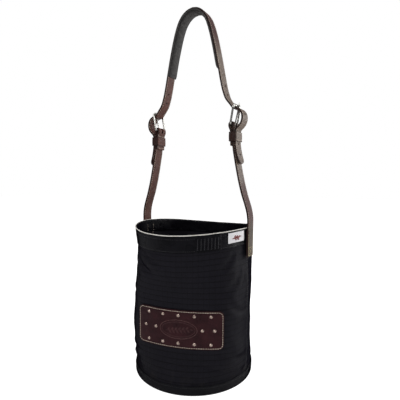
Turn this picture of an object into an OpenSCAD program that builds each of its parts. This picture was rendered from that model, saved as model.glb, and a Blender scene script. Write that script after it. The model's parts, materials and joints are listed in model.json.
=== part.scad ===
// Bucket-shaped fabric tool bag with a riveted leather front patch and a
// buckled, padded leather carry strap. Millimetres, +Z up. The origin is the
// centre of the base on the ground. The strap is sewn to the rim at +X (right)
// and -X (left), and the front of the bag faces -Y. Azimuths run from -Y towards +X.

/* [Bag] */
// Outside diameter of the fabric wall
bag_d = 280; // [270:1:290]
// Height of the rim, averaged round the mouth
bag_h = 344; // [335:1:355]
// Thickness of the wall fabric
wall_t = 2; // [1.6:0.1:2.4]
// How far the strap lifts the rim at its two ends, and how far it droops between them
rim_lift = 5.8; // [0:0.1:7]
// Height of the webbing on the outside of the rim
band_h = 38; // [32:1:42]
// Thickness of the rim webbing
band_t = 2.2; // [1.8:0.1:2.6]
// Diameter of the wire hoop inside the rim
hoop_d = 3.6; // [3:0.1:3.8]
// Height of the binding round the base
base_band_h = 20; // [16:1:24]

/* [Patch] */
// Length of the leather patch along the wall
patch_l = 198; // [186:1:204]
// Height of the leather patch
patch_h = 83; // [78:1:88]
// Height of the patch centre above the ground
patch_z = 137; // [134:1:142]
// Azimuth of the patch centre
patch_az = 16; // [0:1:20]
// Thickness of the patch leather
patch_t = 2.4; // [2:0.1:3]
// Diameter of a domed stud head
stud_d = 7.4; // [6.5:0.1:9]
// Radius of the curve the stiff patch holds the wall to
patch_curve_r = 260; // [200:1:280]

/* [Strap] */
// Width of the strap
strap_w = 30; // [28:0.5:31]
// Thickness of the strap
strap_t = 4.4; // [4:0.1:4.5]
// Width of the shoulder pad
pad_w = 36; // [34:0.5:38]
// Thickness of the shoulder pad foam
pad_foam_t = 4.2; // [3:0.1:4.6]

/* [Buckle] */
// Diameter of the buckle bars
bar_d = 4.6; // [4.2:0.1:4.8]
// Outside diameter of the roller
roller_d = 7; // [6.6:0.1:7]
// Diameter of the tongue
tongue_d = 3.6; // [3:0.1:3.8]

/* [Hidden] */

bag_r = bag_d / 2;

fabric_color = [0.075, 0.075, 0.09];
web_color = [0.03, 0.03, 0.04];
cream_color = [0.86, 0.84, 0.78];
thread_color = [0.80, 0.74, 0.62];
patch_color = [0.20, 0.075, 0.085];
strap_color = [0.30, 0.19, 0.17];
pad_color = [0.17, 0.16, 0.16];
foam_color = [0.1, 0.1, 0.1];
label_color = [0.9, 0.89, 0.88];
nickel_color = [0.78, 0.78, 0.76];
brass_color = [0.80, 0.68, 0.48];
board_color = [0.20, 0.19, 0.18];

// ---- general functions ----
function flip(list) = [for (i = [len(list) - 1 : -1 : 0]) list[i]];
function arc(centre, r, angles) = [for (a = angles) centre + r * [cos(a), sin(a)]];
// cubic from one value and slope to another, for t from 0 to 1
function hermite(start, start_slope, end, end_slope, t) =
  (2 * t * t * t - 3 * t * t + 1) * start + (t * t * t - 2 * t * t + t) * start_slope
  + (3 * t * t - 2 * t * t * t) * end + (t * t * t - t * t) * end_slope;
// eases from 0 to 1 as x goes from low to high
function smooth(low, high, x) =
  let (t = min(1, max(0, (x - low) / (high - low)))) t * t * (3 - 2 * t);
// brings an angle into -180 to 180
function wrap(a) = a > 180 ? wrap(a - 360) : (a < -180 ? wrap(a + 360) : a);

// ---- shape of the soft bag ----
// the stiff patch holds the wall to a flatter curve and pushes it out beside its ends
patch_sink = 11;     // how far the patch centre lies inside the round wall
flat_span = 36;      // degrees either side of the patch centre held to the flat curve
fade_span = 52;      // degrees over which the wall returns to round
patch_axis = patch_curve_r - (bag_r - patch_sink);  // patch curve centre, behind the bag axis
function flat_r(az) =
  -patch_axis * cos(az) + sqrt(pow(patch_curve_r, 2) - pow(patch_axis * sin(az), 2));
function dent(az) =
  let (away = abs(wrap(az - patch_az)), t = (away - flat_span) / fade_span)
  away < flat_span ? flat_r(away) - bag_r
  : t > 1 ? 0
  : hermite(flat_r(flat_span) - bag_r,
      fade_span * (flat_r(flat_span) - flat_r(flat_span - 1)), 0, 0, t);
function dent_share(z) = smooth(16, 84, z) * (1 - smooth(190, 292, z));
function lift(az) = -rim_lift * cos(2 * az);
function lift_share(z) = smooth(180, 320, z);
// a point given as azimuth, offset outwards from the wall, height
function bag_point(az, off, z) =
  let (r = bag_r + off + dent(az) * dent_share(z))
  [r * sin(az), -r * cos(az), z + lift(az) * lift_share(z)];

// solid made of stations, each a loop of the same number of points
module loft(stations, closed = false) {
  count = len(stations);
  size = len(stations[0]);
  side = [for (i = [0 : closed ? count - 1 : count - 2], j = [0 : size - 1])
    let (row = i * size, next_row = ((i + 1) % count) * size, k = (j + 1) % size)
    each [[row + j, row + k, next_row + k], [row + j, next_row + k, next_row + j]]];
  // the end caps are strips between the two matched halves of the loop
  caps = closed ? [] : [for (near = [0 : size / 2 - 2])
    let (far = size - 1 - near, end = (count - 1) * size)
    each [[far - 1, near + 1, near], [far, far - 1, near],
      [end + near, end + near + 1, end + far - 1], [end + near, end + far - 1, end + far]]];
  polyhedron(points = [for (s = stations) each s], faces = concat(side, caps), convexity = 8);
}
// profile of [offset, height] points carried round the wall in the given number of steps
module round_wall(profile, az0, az1, steps) {
  full = az1 - az0 >= 359.9;
  loft([for (i = [0 : full ? steps - 1 : steps]) let (az = az0 + (az1 - az0) * i / steps)
    [for (p = profile) bag_point(az, p[0], p[1])]], full);
}
// profile of a sheet between two offsets, with points at the heights zs
function sheet(off0, off1, zs) =
  concat([for (z = zs) [off0, z]], [for (z = flip(zs)) [off1, z]]);

// ---- wall ----
wall_zs = [2.2, 20, 40, 62, 84, 110, 145, 180, 204, 226, 248, 270, 290, 312, 336.2];
wall_profile = sheet(0, -wall_t, wall_zs);

module wall_panel_front() {
  color(fabric_color) difference() {
    round_wall(wall_profile, -89.9, 89.9, 48);
    stud_holes();
  }
}
module wall_panel_back() { color(fabric_color) round_wall(wall_profile, 90.1, 269.9, 40); }
// tape inside the wall over the joint of the two panels
module side_seam(az) {
  zs = concat([8], [for (z = wall_zs) if (z > 10 && z < 295) z], [304]);
  color(web_color)
    round_wall(sheet(-wall_t - 0.3, -wall_t - 1.4, zs), az - 2.6, az + 2.6, 4);
}

// ---- rim ----
web_gap = 0.15;                        // between wall and webbing
fold_out = band_t + web_gap;           // outer face of the webbing
fold_in = -wall_t - fold_out;          // its face inside the bag
fold_mid = -wall_t / 2;
rim_fold_r = (fold_out - fold_in) / 2;
fold_z = bag_h - 4.2;                  // centre of the fold over the rim
piping_r = 1;
piping_off = rim_fold_r + 1.1;         // from the centre of the fold to the piping

// webbing folded over the rim
module rim_binding() {
  outer_z = bag_h - 16;
  inner_z = bag_h - 18;
  hem_z = bag_h - 31;
  color(web_color) round_wall(concat(
    [[web_gap, bag_h - band_h], [fold_out, bag_h - band_h], [fold_out, bag_h - band_h * 0.62],
      [fold_out, outer_z], [fold_out, fold_z]],
    arc([fold_mid, fold_z], rim_fold_r, [30 : 30 : 150]),
    [[fold_in, fold_z], [fold_in, inner_z], [fold_in, hem_z], [-wall_t - web_gap, hem_z],
      [-wall_t - web_gap, inner_z], [-wall_t - web_gap, fold_z]],
    arc([fold_mid, fold_z], rim_fold_r - band_t, [150 : -30 : 30]),
    [[web_gap, fold_z], [web_gap, outer_z]]), 0, 360, 96);
}
module rim_hoop() {
  half_t = min(hoop_d / 2, 1.0);
  color(nickel_color) round_wall([for (a = [0 : 45 : 315])
    [fold_mid + half_t * cos(a), bag_h - 5.4 + hoop_d / 2 * sin(a)]], 0, 360, 96);
}
module rim_piping() {
  color(cream_color) round_wall(
    arc([fold_mid, fold_z] + piping_off * [cos(40), sin(40)], piping_r, [0 : 45 : 315]),
    0, 360, 96);
}
// seven upright rows on the rim webbing
module band_lap_stitching() {
  profile = sheet(fold_out + 0.62, fold_out + 0.02, [bag_h - band_h + 4, bag_h - 9]);
  for (i = [0 : 6]) color(web_color) round_wall(profile, 30.5 + i * 3, 31.2 + i * 3, 1);
}

// ---- base ----
base_t = 2;
module base_disc() { color(fabric_color) cylinder(r = bag_r - 0.2, h = base_t, $fn = 96); }
module base_board() {
  color(board_color) translate([0, 0, base_t + 0.2])
    cylinder(r = bag_r - wall_t - 1.6, h = 3, $fn = 96);
}
module base_binding() {
  inner_r = bag_r + web_gap;
  outer_r = bag_r + 2.4;
  color(web_color) rotate_extrude($fn = 96)
    polygon([[inner_r, 0], [bag_r + 1.6, 0], [outer_r, 1.2], [outer_r, base_band_h - 1],
      [bag_r + 1.9, base_band_h], [inner_r, base_band_h]]);
}

// ---- patch ----
patch_corner_r = 12;
patch_half_w = patch_curve_r * sin(patch_l / 2 / patch_curve_r * 180 / PI);
// turns the drawing so that the patch curve is centred on the Z axis
module to_patch() { rotate([0, 0, patch_az]) translate([0, patch_axis, 0]) children(); }
module patch_outline(inset) {
  w = patch_half_w - inset;
  h = patch_h / 2 - inset;
  r = patch_corner_r - inset;
  square([2 * (w - r), 2 * h], center = true);
  square([2 * w, 2 * (h - r)], center = true);
  for (x = [-1, 1], y = [-1, 1]) translate([x * (w - r), y * (h - r)]) circle(r, $fn = 32);
}
// curved sheet between two offsets from the wall; a hole inset leaves only a border
module patch_shell(off0, off1, inset, hole = 0) {
  to_patch() intersection() {
    translate([0, 0, patch_z - patch_h]) difference() {
      cylinder(r = patch_curve_r + off1, h = 2 * patch_h, $fn = 180);
      translate([0, 0, -1]) cylinder(r = patch_curve_r + off0, h = 2 * patch_h + 2, $fn = 180);
    }
    translate([0, -patch_curve_r + 60, patch_z]) rotate([90, 0, 0])
      linear_extrude(height = 90) difference() {
        patch_outline(inset);
        if (hole > 0) patch_outline(hole);
      }
  }
}
module front_patch() {
  color(patch_color) difference() {
    patch_shell(0.2, 0.2 + patch_t, 0);
    stud_holes();
  }
}
module patch_stitching() {
  color(thread_color) patch_shell(0.25 + patch_t, 0.7 + patch_t, 2.4, 3.4);
}

// studs: [distance along the patch from its centre, height from its centre]
studs = concat([for (s = [-70, -35, 0, 35, 70], v = [30, -30]) [s, v]],
  [for (s = [-78, -52, 52, 78]) [s, 0]]);
stud_hole_d = 2.2;
// puts its children at each stud on the patch curve, with +Z along the outward normal
module at_studs() {
  for (p = studs) to_patch() rotate([0, 0, p[0] / patch_curve_r * 180 / PI])
    translate([0, -patch_curve_r, patch_z + p[1]]) rotate([90, 0, 0]) children();
}
// pierced for the shanks of the studs
module stud_holes() {
  at_studs() translate([0, 0, -8]) cylinder(d = stud_hole_d, h = 16, $fn = 16);
}
module patch_studs() {
  color(brass_color) at_studs() {
    translate([0, 0, patch_t + 0.3]) intersection() {
      cylinder(d = stud_d, h = 4, $fn = 32);
      translate([0, 0, 2.6 - stud_d * 0.8]) sphere(d = stud_d * 1.6, $fn = 32);
    }
    translate([0, 0, -wall_t - 1.8]) cylinder(d = 2, h = patch_t + wall_t + 2.3, $fn = 16);
  }
}
// washers inside the wall
module stud_backs() {
  color(brass_color) at_studs() translate([0, 0, -wall_t - 1.25]) difference() {
    cylinder(d = 7, h = 0.9, $fn = 24);
    translate([0, 0, -1]) cylinder(d = stud_hole_d, h = 3, $fn = 16);
  }
}

// ---- label ----
label_az0 = 61;
label_az1 = 80.5;
label_z = bag_h - 16.6;
label_off = fold_out + 0.05;
module blank_label() {
  color(label_color)
    round_wall(sheet(label_off + 0.7, label_off, [label_z - 11, label_z, label_z + 11]),
      label_az0, label_az1, 8);
}
module label_stitching() {
  off = label_off + 0.75;
  color(cream_color) for (az = [label_az0 + 0.7, label_az1 - 1.1])
    round_wall(sheet(off + 0.35, off, [label_z - 9.5, label_z + 9.5]), az, az + 0.4, 1);
}

// ---- strap layout, right side, points as [x, z] ----
tab_in = bag_r + fold_out + 0.25;         // inner face of the sewn tab
strap_in = bag_r + 3.6;                   // inner face of the strap, clear of the piping
strap_out = strap_in + strap_t;
strap_x = strap_in + strap_t / 2;         // its middle
pivot_z = bag_h + rim_lift + 2;           // where the strap flexes, just above the rim
tab_z0 = 283;
tab_z1 = pivot_z - strap_w / 2 - 3.8;
heel = [103, 579];                        // heel bar of the buckle
tilt = 10;                                // how far the frame leans outwards
frame_l = 42;                             // heel bar to front bar
front = heel + frame_l * [sin(tilt), cos(tilt)];
bar_eye_d = bar_d + 0.16;                 // running fit on a buckle bar
heel_fold_r = bar_d / 2 + 0.3 + strap_t / 2;  // bend of the fold round the heel bar
leg_x = heel[0] + heel_fold_r;            // lower strap below the heel bar
back_x = leg_x - strap_t - 0.4;           // its turned back end
billet_x = leg_x + strap_t + 0.35;        // billet lying on its outer face
ply_gap = 0.04;                           // from the middle of the strap to each ply
stitch_y = strap_w / 2 - 2.6;
stitch_w = 1;

// ---- paths in the XZ plane ----
function unit(v) = v / norm(v);
function left_of(v) = [-v[1], v[0]];
function tangent(path, i) =
  let (last = len(path) - 1)
  i == 0 ? unit(path[1] - path[0])
  : i == last ? unit(path[last] - path[last - 1])
  : let (before = path[i] - path[i - 1], after = path[i + 1] - path[i],
      before_l = norm(before), after_l = norm(after))
    (before / before_l * after_l + after / after_l * before_l) / (before_l + after_l);
function between(path, i, t) =
  let (chord = norm(path[i + 1] - path[i]))
  hermite(path[i], chord * tangent(path, i), path[i + 1], chord * tangent(path, i + 1), t);
// smooth line through the points of path, cut into steps of about the given length
function curve(path, step) = concat(
  [for (i = [0 : len(path) - 2]) let (cuts = max(1, round(norm(path[i + 1] - path[i]) / step)))
    for (j = [0 : cuts - 1]) between(path, i, j / cuts)],
  [path[len(path) - 1]]);
function normal_at(path, i) =
  left_of(unit(path[min(len(path) - 1, i + 1)] - path[max(0, i - 1)]));
function shifted(path, off) = [for (i = [0 : len(path) - 1]) path[i] + off * normal_at(path, i)];
// points of a path between two heights
function stretch(path, z0, z1) = [for (p = path) if (p[1] > z0 && p[1] < z1) p];
// a path from the middle down the right side, led in by its mirror image
function doubled(path) =
  concat([for (i = [len(path) - 1 : -1 : 1]) [-path[i][0], path[i][1]]], path);
function trimmed(path, count) = [for (i = [count : len(path) - 1 - count]) path[i]];
// band along a path, between two offsets to its left, w wide and centred on y
module band(path, off0, off1, w, y = 0) {
  translate([0, y + w / 2, 0]) rotate([90, 0, 0]) linear_extrude(height = w)
    polygon(concat(shifted(path, off0), flip(shifted(path, off1))));
}

// from the middle of the shoulder down the right side to the tip of the billet
down = curve(concat(
  [[0, 855.8], [13, 853.2], [25, 846], [35.5, 833.5], [43.5, 816.5], [50.5, 795], [56.5, 772],
    [62, 748], [67, 724], [71.5, 702], [76, 680], [82, 656], [89.5, 637], [97.4, 626.8]],
  arc(front, roller_d / 2 + 0.25 + strap_t / 2, [218 : 9.5 : 256]),
  [[117.5, 612.4], [124, 608], [128.2, 600.6], [129.2, 591.5], [126.8, 582], [121, 574.2],
    [billet_x + 2.4, 568.4], [billet_x + 0.1, 562.5], [billet_x, 551], [billet_x, 540],
    [billet_x + 1.3, 528], [billet_x + 4.3, 513], [billet_x + 7.8, 501],
    [billet_x + 11.2, 491]]), 4.6);
upper_way = doubled(down);
// from the rim up to the heel bar, round it, and down inside to the turned back end
lower_way = curve(concat(
  [[strap_x, pivot_z], [strap_x, 366], [strap_x - 0.7, 374], [143.6, 383], [141.3, 392],
    [138.1, 402], [134.2, 413], [129, 430], [124, 449], [117, 481], [112.2, 506], [109, 525],
    [leg_x, 538], [leg_x, 560], [leg_x, heel[1] - 4]],
  arc(heel, heel_fold_r, [0 : 15 : 180]),
  [[heel[0] - heel_fold_r - 0.1, heel[1] - 4], [back_x - 3, heel[1] - 9],
    [back_x - 1.1, heel[1] - 14], [back_x - 0.15, heel[1] - 21],
    [back_x, 548], [back_x, 531]]), 5);

// ---- upper strap ----
strap_holes = [[128.4, 600], [billet_x, 536], [billet_x + 4.8, 511], [79, 668], [85.5, 646.5]];
// round hole through the strap, square to its path
module hole_at(x, z) {
  i = [for (i = [0 : len(down) - 2])
    if (down[i][1] >= z && down[i + 1][1] < z && abs(down[i][0] - x) < 9) i][0];
  normal = normal_at(down, i);
  translate([down[i][0], 0, down[i][1]]) rotate([0, 90 - atan2(normal[1], normal[0]), 0])
    translate([0, 0, -4]) cylinder(d = 5, h = 8, $fn = 24);
}
module upper_ply(off0, off1) {
  color(strap_color) difference() {
    band(upper_way, off0, off1, strap_w);
    for (m = [0, 1]) mirror([m, 0, 0]) {
      // lengthened hole that the tongue passes through
      translate([111, -2.7, 604]) cube([13.4, 5.4, 16]);
      for (p = strap_holes) hole_at(p[0], p[1]);
      // corners taken off the tip of the billet
      for (s = [-1, 1]) translate([billet_x + 11, s * 16, 486]) rotate([s * 42, 0, 0])
        cube([24, 16, 20], center = true);
    }
  }
}
module upper_strap_stitching() {
  near = strap_t / 2 + 0.15;
  far = strap_t / 2 + 0.45;
  plain = stretch(down, 633, 703);
  billet = stretch(down, 564, 585);
  color(thread_color) for (y = [-stitch_y, stitch_y], m = [0, 1]) mirror([m, 0, 0]) {
    band(plain, near, far, stitch_w, y);
    band(plain, -far, -near, stitch_w, y);
    band(billet, near, far, stitch_w, y);
  }
}

// ---- shoulder pad, under the strap ----
cover_t = 1.5;
pad_way = doubled(stretch(down, 708, 1000));
pad_way_in = trimmed(pad_way, 1);
pad_top = -strap_t / 2 - 0.1;
pocket_floor = pad_top - pad_foam_t - 0.1;
pad_bottom = pocket_floor - cover_t;
module pad_foam() {
  color(foam_color) band(trimmed(pad_way, 2), pad_top - 0.05, pad_top - pad_foam_t,
    pad_w - 2 * cover_t - 0.4);
}
module pad_cover() {
  // a shallow pocket, open towards the strap, that holds the foam
  color(pad_color) difference() {
    band(pad_way, pad_top, pad_bottom, pad_w);
    band(pad_way_in, pad_top + 1, pocket_floor, pad_w - 2 * cover_t);
  }
}
module pad_stitching() {
  color(web_color) for (y = [-pad_w / 2 + 4, pad_w / 2 - 4])
    band(pad_way_in, pad_bottom, pad_bottom - 0.35, stitch_w, y);
}

// ---- lower strap ----
// cylinder along Y, centred on the heel bar but for its shift in y
module along_heel(d, length, y = 0) {
  translate([heel[0], y, heel[1]]) rotate([90, 0, 0])
    cylinder(d = d, h = length, center = true, $fn = 48);
}
module lower_ply(off0, off1) {
  color(strap_color) difference() {
    union() {
      band(lower_way, off0, off1, strap_w);
      // rounded end, so that the strap turns freely above the sewn tab
      difference() {
        translate([strap_x - off1, 0, pivot_z]) rotate([0, 90, 0])
          cylinder(d = strap_w, h = off1 - off0, $fn = 64);
        translate([strap_x - 10, -20, pivot_z + 0.6]) cube([20, 40, 20]);
      }
      // the lining fills the fold round the heel bar
      if (off1 > 0) along_heel(bar_d + 2.2, strap_w);
    }
    // slot in the fold for the tongue
    translate([heel[0] - 12, -3.2, heel[1] - 7]) cube([24, 6.4, 20]);
    // eye of the fold
    along_heel(bar_eye_d, strap_w + 2);
    // its two ends are eased for the corners of the frame
    for (s = [-1, 1]) along_heel(bar_d + 0.9, 3, s * 15);
  }
}
module lower_strap_stitching() {
  near = strap_t / 2 + 0.04;
  far = strap_t / 2 + 0.4;
  color(thread_color) for (y = [-stitch_y, stitch_y]) {
    // the outer row stops below the billet
    band(stretch(lower_way, 372, 484), -far, -near, stitch_w, y);
    band(stretch(lower_way, 372, 528), near, far, stitch_w, y);
  }
}
// a loop round the folded lower strap and the billet
module keeper() {
  inner_x = back_x - strap_t / 2 - 1;
  outer_x = billet_x + strap_t / 2 + 0.5;
  depth = outer_x - inner_x;
  half_w = strap_w / 2 + 0.6;
  thick = 2;
  h = 21;
  color(strap_color) translate([0, 0, 541]) difference() {
    union() {
      translate([inner_x - thick, -half_w, 0]) cube([depth + 2 * thick, 2 * half_w, h]);
      translate([inner_x, -half_w - thick, 0]) cube([depth, 2 * half_w + 2 * thick, h]);
      for (x = [inner_x, outer_x], s = [-1, 1]) translate([x, s * half_w, 0])
        cylinder(r = thick, h = h, $fn = 32);
    }
    translate([inner_x, -half_w, -1]) cube([depth, 2 * half_w, h + 2]);
  }
}

// ---- sewn tab ----
module strap_tab() {
  color(strap_color) translate([tab_in, -strap_w / 2, tab_z0])
    cube([strap_out - tab_in, strap_w, tab_z1 - tab_z0]);
}
module tab_stitching() {
  raised = 0.4;
  color(thread_color) {
    for (s = [-1, 1]) translate([strap_out, s * stitch_y - stitch_w / 2, tab_z0 + 3])
      cube([raised, stitch_w, tab_z1 - tab_z0 - 6]);
    for (z = [2, 20]) translate([strap_out, -stitch_y + 0.6, tab_z0 + z])
      cube([raised, 2 * stitch_y - 1.2, stitch_w]);
    // a cross in the box of stitching
    difference() {
      for (s = [-1, 1]) translate([strap_out, 0, tab_z0 + 11.5]) rotate([s * 34, 0, 0])
        cube([2 * raised, 26, stitch_w], center = true);
      translate([strap_out - 2, -20, 0]) cube([2, 40, 500]);
    }
  }
}

// ---- buckle, drawn on the right side ----
side_y = 18.8;                 // middle of a side bar
corner_r = 5;                  // bend of the frame corners
bar_end = side_y - corner_r;   // end of the straight part of a cross bar
module to_frame() { translate([heel[0], 0, heel[1]]) rotate([0, tilt, 0]) children(); }
module buckle_frame() {
  color(nickel_color) to_frame() union() {
    for (s = [-1, 1]) {
      translate([0, s * side_y, corner_r])
        cylinder(d = bar_d, h = frame_l - 2 * corner_r, $fn = 32);
      for (e = [0, 1]) translate([0, s * bar_end, e ? frame_l - corner_r : corner_r])
        rotate([0, 90, 0]) rotate([0, 0, e ? (s > 0 ? 90 : 180) : (s > 0 ? 0 : 270)])
          rotate_extrude(angle = 90, $fn = 64)
            translate([corner_r, 0]) circle(d = bar_d, $fn = 32);
    }
    for (z = [0, frame_l]) translate([0, -bar_end, z]) rotate([-90, 0, 0])
      cylinder(d = bar_d, h = 2 * bar_end, $fn = 32);
  }
}
module buckle_roller() {
  color(nickel_color) to_frame() translate([0, -bar_end + 0.2, frame_l]) rotate([-90, 0, 0])
    difference() {
      cylinder(d = roller_d, h = 2 * bar_end - 0.4, $fn = 48);
      translate([0, 0, -1]) cylinder(d = bar_eye_d, h = 2 * side_y, $fn = 48);
    }
}
module buckle_tongue() {
  root_x = 3;
  rest_x = roller_d / 2 + tongue_d / 2 + 0.1;  // where the tongue lies on the roller
  tip = [rest_x + 0.16, 0, frame_l + 2.9];
  color(nickel_color) to_frame() union() {
    rotate([90, 0, 0]) difference() {
      translate([0, 0, -2.6]) cylinder(d = bar_d + 4.4, h = 5.2, $fn = 48);
      translate([0, 0, -4]) cylinder(d = bar_eye_d, h = 8, $fn = 48);
    }
    difference() {
      union() {
        translate([root_x, 0, 1]) rotate([0, atan((rest_x - root_x) / (frame_l - 1)), 0])
          cylinder(d = tongue_d, h = frame_l + 2, $fn = 24);
        translate(tip) rotate([0, -8, 0])
          cylinder(d1 = tongue_d, d2 = tongue_d - 1, h = 5, $fn = 24);
        translate(tip) sphere(d = tongue_d, $fn = 24);
      }
      rotate([90, 0, 0]) translate([0, 0, -4]) cylinder(d = bar_eye_d, h = 8, $fn = 48);
    }
  }
}

module left() { mirror([1, 0, 0]) children(); }

wall_panel_front();
wall_panel_back();
side_seam(-90);  // side_seam_left
side_seam(90);  // side_seam_right
rim_binding();
rim_hoop();
rim_piping();
band_lap_stitching();
base_disc();
base_board();
base_binding();
front_patch();
patch_stitching();
patch_studs();
stud_backs();
blank_label();
label_stitching();
left() strap_tab();  // strap_tab_left
strap_tab();  // strap_tab_right
left() tab_stitching();  // tab_stitching_left
tab_stitching();  // tab_stitching_right
left() lower_ply(-strap_t / 2, -ply_gap);  // lower_strap_outer_left
lower_ply(-strap_t / 2, -ply_gap);  // lower_strap_outer_right
left() lower_ply(ply_gap, strap_t / 2);  // lower_strap_lining_left
lower_ply(ply_gap, strap_t / 2);  // lower_strap_lining_right
left() lower_strap_stitching();  // lower_strap_stitching_left
lower_strap_stitching();  // lower_strap_stitching_right
left() keeper();  // keeper_left
keeper();  // keeper_right
upper_ply(ply_gap, strap_t / 2);  // upper_strap_outer
upper_ply(-strap_t / 2, -ply_gap);  // upper_strap_lining
upper_strap_stitching();
pad_foam();
pad_cover();
pad_stitching();
left() buckle_frame();  // buckle_frame_left
buckle_frame();  // buckle_frame_right
left() buckle_tongue();  // buckle_tongue_left
buckle_tongue();  // buckle_tongue_right
left() buckle_roller();  // buckle_roller_left
buckle_roller();  // buckle_roller_right
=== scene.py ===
"""Round ripstop bag with a webbing rim, a leather patch and a buckled leather shoulder strap.

The bag stands on Z = 0 round the Z axis with its front towards -Y and its right side at +X.
The strap runs in the XZ plane, from one side of the bag over the top to the other.
Azimuths are degrees from the front (-Y) towards +X. Shapes are worked out in millimetres
and turned into metres by make(); materials, lights and camera are in metres.
"""
import json
import math
import bpy
import bmesh
import numpy as np
from mathutils import Matrix, Vector


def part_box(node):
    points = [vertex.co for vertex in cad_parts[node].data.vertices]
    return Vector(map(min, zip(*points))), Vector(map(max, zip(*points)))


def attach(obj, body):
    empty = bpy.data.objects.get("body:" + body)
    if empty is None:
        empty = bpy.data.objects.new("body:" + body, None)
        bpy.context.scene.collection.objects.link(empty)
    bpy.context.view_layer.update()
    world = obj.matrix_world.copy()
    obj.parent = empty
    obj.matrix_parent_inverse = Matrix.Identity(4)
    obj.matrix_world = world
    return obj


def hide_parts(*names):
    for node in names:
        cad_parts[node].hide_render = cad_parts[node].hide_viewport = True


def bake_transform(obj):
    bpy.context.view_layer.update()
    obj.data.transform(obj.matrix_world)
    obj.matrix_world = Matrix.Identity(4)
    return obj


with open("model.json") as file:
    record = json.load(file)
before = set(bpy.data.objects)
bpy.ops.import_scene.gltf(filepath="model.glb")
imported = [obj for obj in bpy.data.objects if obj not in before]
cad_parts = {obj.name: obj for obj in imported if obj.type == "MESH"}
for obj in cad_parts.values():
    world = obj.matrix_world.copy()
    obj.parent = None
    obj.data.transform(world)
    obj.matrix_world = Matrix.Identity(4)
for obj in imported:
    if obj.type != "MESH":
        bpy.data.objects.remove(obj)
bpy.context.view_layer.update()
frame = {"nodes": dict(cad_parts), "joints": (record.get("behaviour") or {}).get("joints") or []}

pi = math.pi
bpy.context.scene.view_settings.view_transform = "Standard"


# ---------------------------------------------------------------- driving sizes (mm)
def low(node):
    return np.array(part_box(node)[0]) * 1000


def high(node):
    return np.array(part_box(node)[1]) * 1000


def joint(name):
    return np.array(joints[name]["pos_m"]) * 1000


joints = {j["name"]: j for j in frame["joints"]}

# bag
R = high("base_disc")[0] + 0.2               # outer radius of the wall
MM_DEG = R * pi / 180                        # length of one degree round the wall
RIM_Z = high("rim_binding")[2] - 4.95        # rim height, averaged round the mouth
LIFT = 5.8                                   # rise of the rim at the sides, dip front and back
BASE_H = high("base_binding")[2]
BAND_T = 2.2
WALL_T = 2.0
BAND_OUT = BAND_T + 0.15                     # faces of the rim band, from the wall's outside
BAND_IN = -WALL_T - BAND_T - 0.15
BAND_H = RIM_Z - (low("rim_binding")[2] + LIFT)
BAND_Z0 = RIM_Z - BAND_H                     # lower edge of the band outside
BAND_IN_Z0 = RIM_Z - 31                      # lower edge of the band inside

# patch
patch_verts = np.array([v.co for v in frame["nodes"]["front_patch"].data.vertices]) * 1000
patch_mid = patch_verts.mean(0)
PATCH_AZ = math.degrees(math.atan2(patch_mid[0], -patch_mid[1]))
PATCH_COS = math.cos(math.radians(PATCH_AZ))
PATCH_SIN = math.sin(math.radians(PATCH_AZ))
PATCH_Z = (low("front_patch")[2] + high("front_patch")[2]) / 2
PATCH_H = high("front_patch")[2] - low("front_patch")[2]
PATCH_R = 260.0                              # radius of the flattened wall under the patch
PATCH_BACK = PATCH_R - (R - 11)              # its centre, behind the bag's axis
PATCH_GAP, PATCH_T = 0.2, 2.4
PATCH_TOP = PATCH_GAP + PATCH_T
across = patch_verts @ np.array([PATCH_COS, PATCH_SIN, 0])
PATCH_L = 2 * PATCH_R * math.asin((across.max() - across.min()) / 2 / (PATCH_R + PATCH_TOP))

# strap
PIVOT_Z = joint("strap_swing")[2]
HEEL = joint("buckle_tilt_right")[[0, 2]]    # bar the lower strap folds over
ROLLER = joint("roller_spin_right")[[0, 2]]
STRAP_W, STRAP_T = high("upper_strap_outer")[1] * 2, 4.4
STITCH_Y = STRAP_W / 2 - 2.6                 # stitch rows, from the strap's middle
STRAP_IN = R + 3.6
STRAP_X = STRAP_IN + STRAP_T / 2
TAB_X = (low("strap_tab_right")[0] + STRAP_IN + STRAP_T) / 2
TAB_Z0 = low("strap_tab_right")[2]


# ---------------------------------------------------------------- numeric helpers
def ease(start, end, x):
    """Smooth step, 0 at start and 1 at end."""
    t = np.clip((np.asarray(x, float) - start) / (end - start), 0, 1)
    return t * t * (3 - 2 * t)


def bell(x, width):
    return np.exp(-(x / width) ** 2)


def wrap(angle):
    return (np.asarray(angle, float) + 180) % 360 - 180


def from_side(az):
    """Degrees from the nearer of the bag's two sides."""
    return np.abs(np.abs(wrap(az)) - 90)


noise_tables = {}


def vnoise(x, y, seed, period=4096):
    """Smooth value noise, -1 to 1, repeating in x after period cells."""
    if seed not in noise_tables:
        noise_tables[seed] = np.random.RandomState(seed).rand(256, 256) * 2 - 1
    table = noise_tables[seed]
    x, y = np.broadcast_arrays(np.asarray(x, float), np.asarray(y, float))
    xi, yi = np.floor(x).astype(int), np.floor(y).astype(int)
    fx, fy = x - xi, y - yi
    fx = fx * fx * fx * (fx * (fx * 6 - 15) + 10)
    fy = fy * fy * fy * (fy * (fy * 6 - 15) + 10)
    x0, x1 = (xi % period) % 256, ((xi + 1) % period) % 256
    y0, y1 = yi % 256, (yi + 1) % 256
    near = table[x0, y0] * (1 - fx) + table[x1, y0] * fx
    far = table[x0, y1] * (1 - fx) + table[x1, y1] * fx
    return near * (1 - fy) + far * fy


def ring_noise(az, cells, y, seed, shift=0):
    """Noise that closes on itself after a full turn of the given number of cells."""
    return vnoise(az / 360 * cells + shift, y, seed, cells)


def unit(v):
    return v / np.linalg.norm(v, axis=-1, keepdims=True)


def lengths(points):
    """Length along a line at each of its points."""
    return np.concatenate([[0], np.cumsum(np.linalg.norm(np.diff(points, axis=0), axis=1))])


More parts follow.
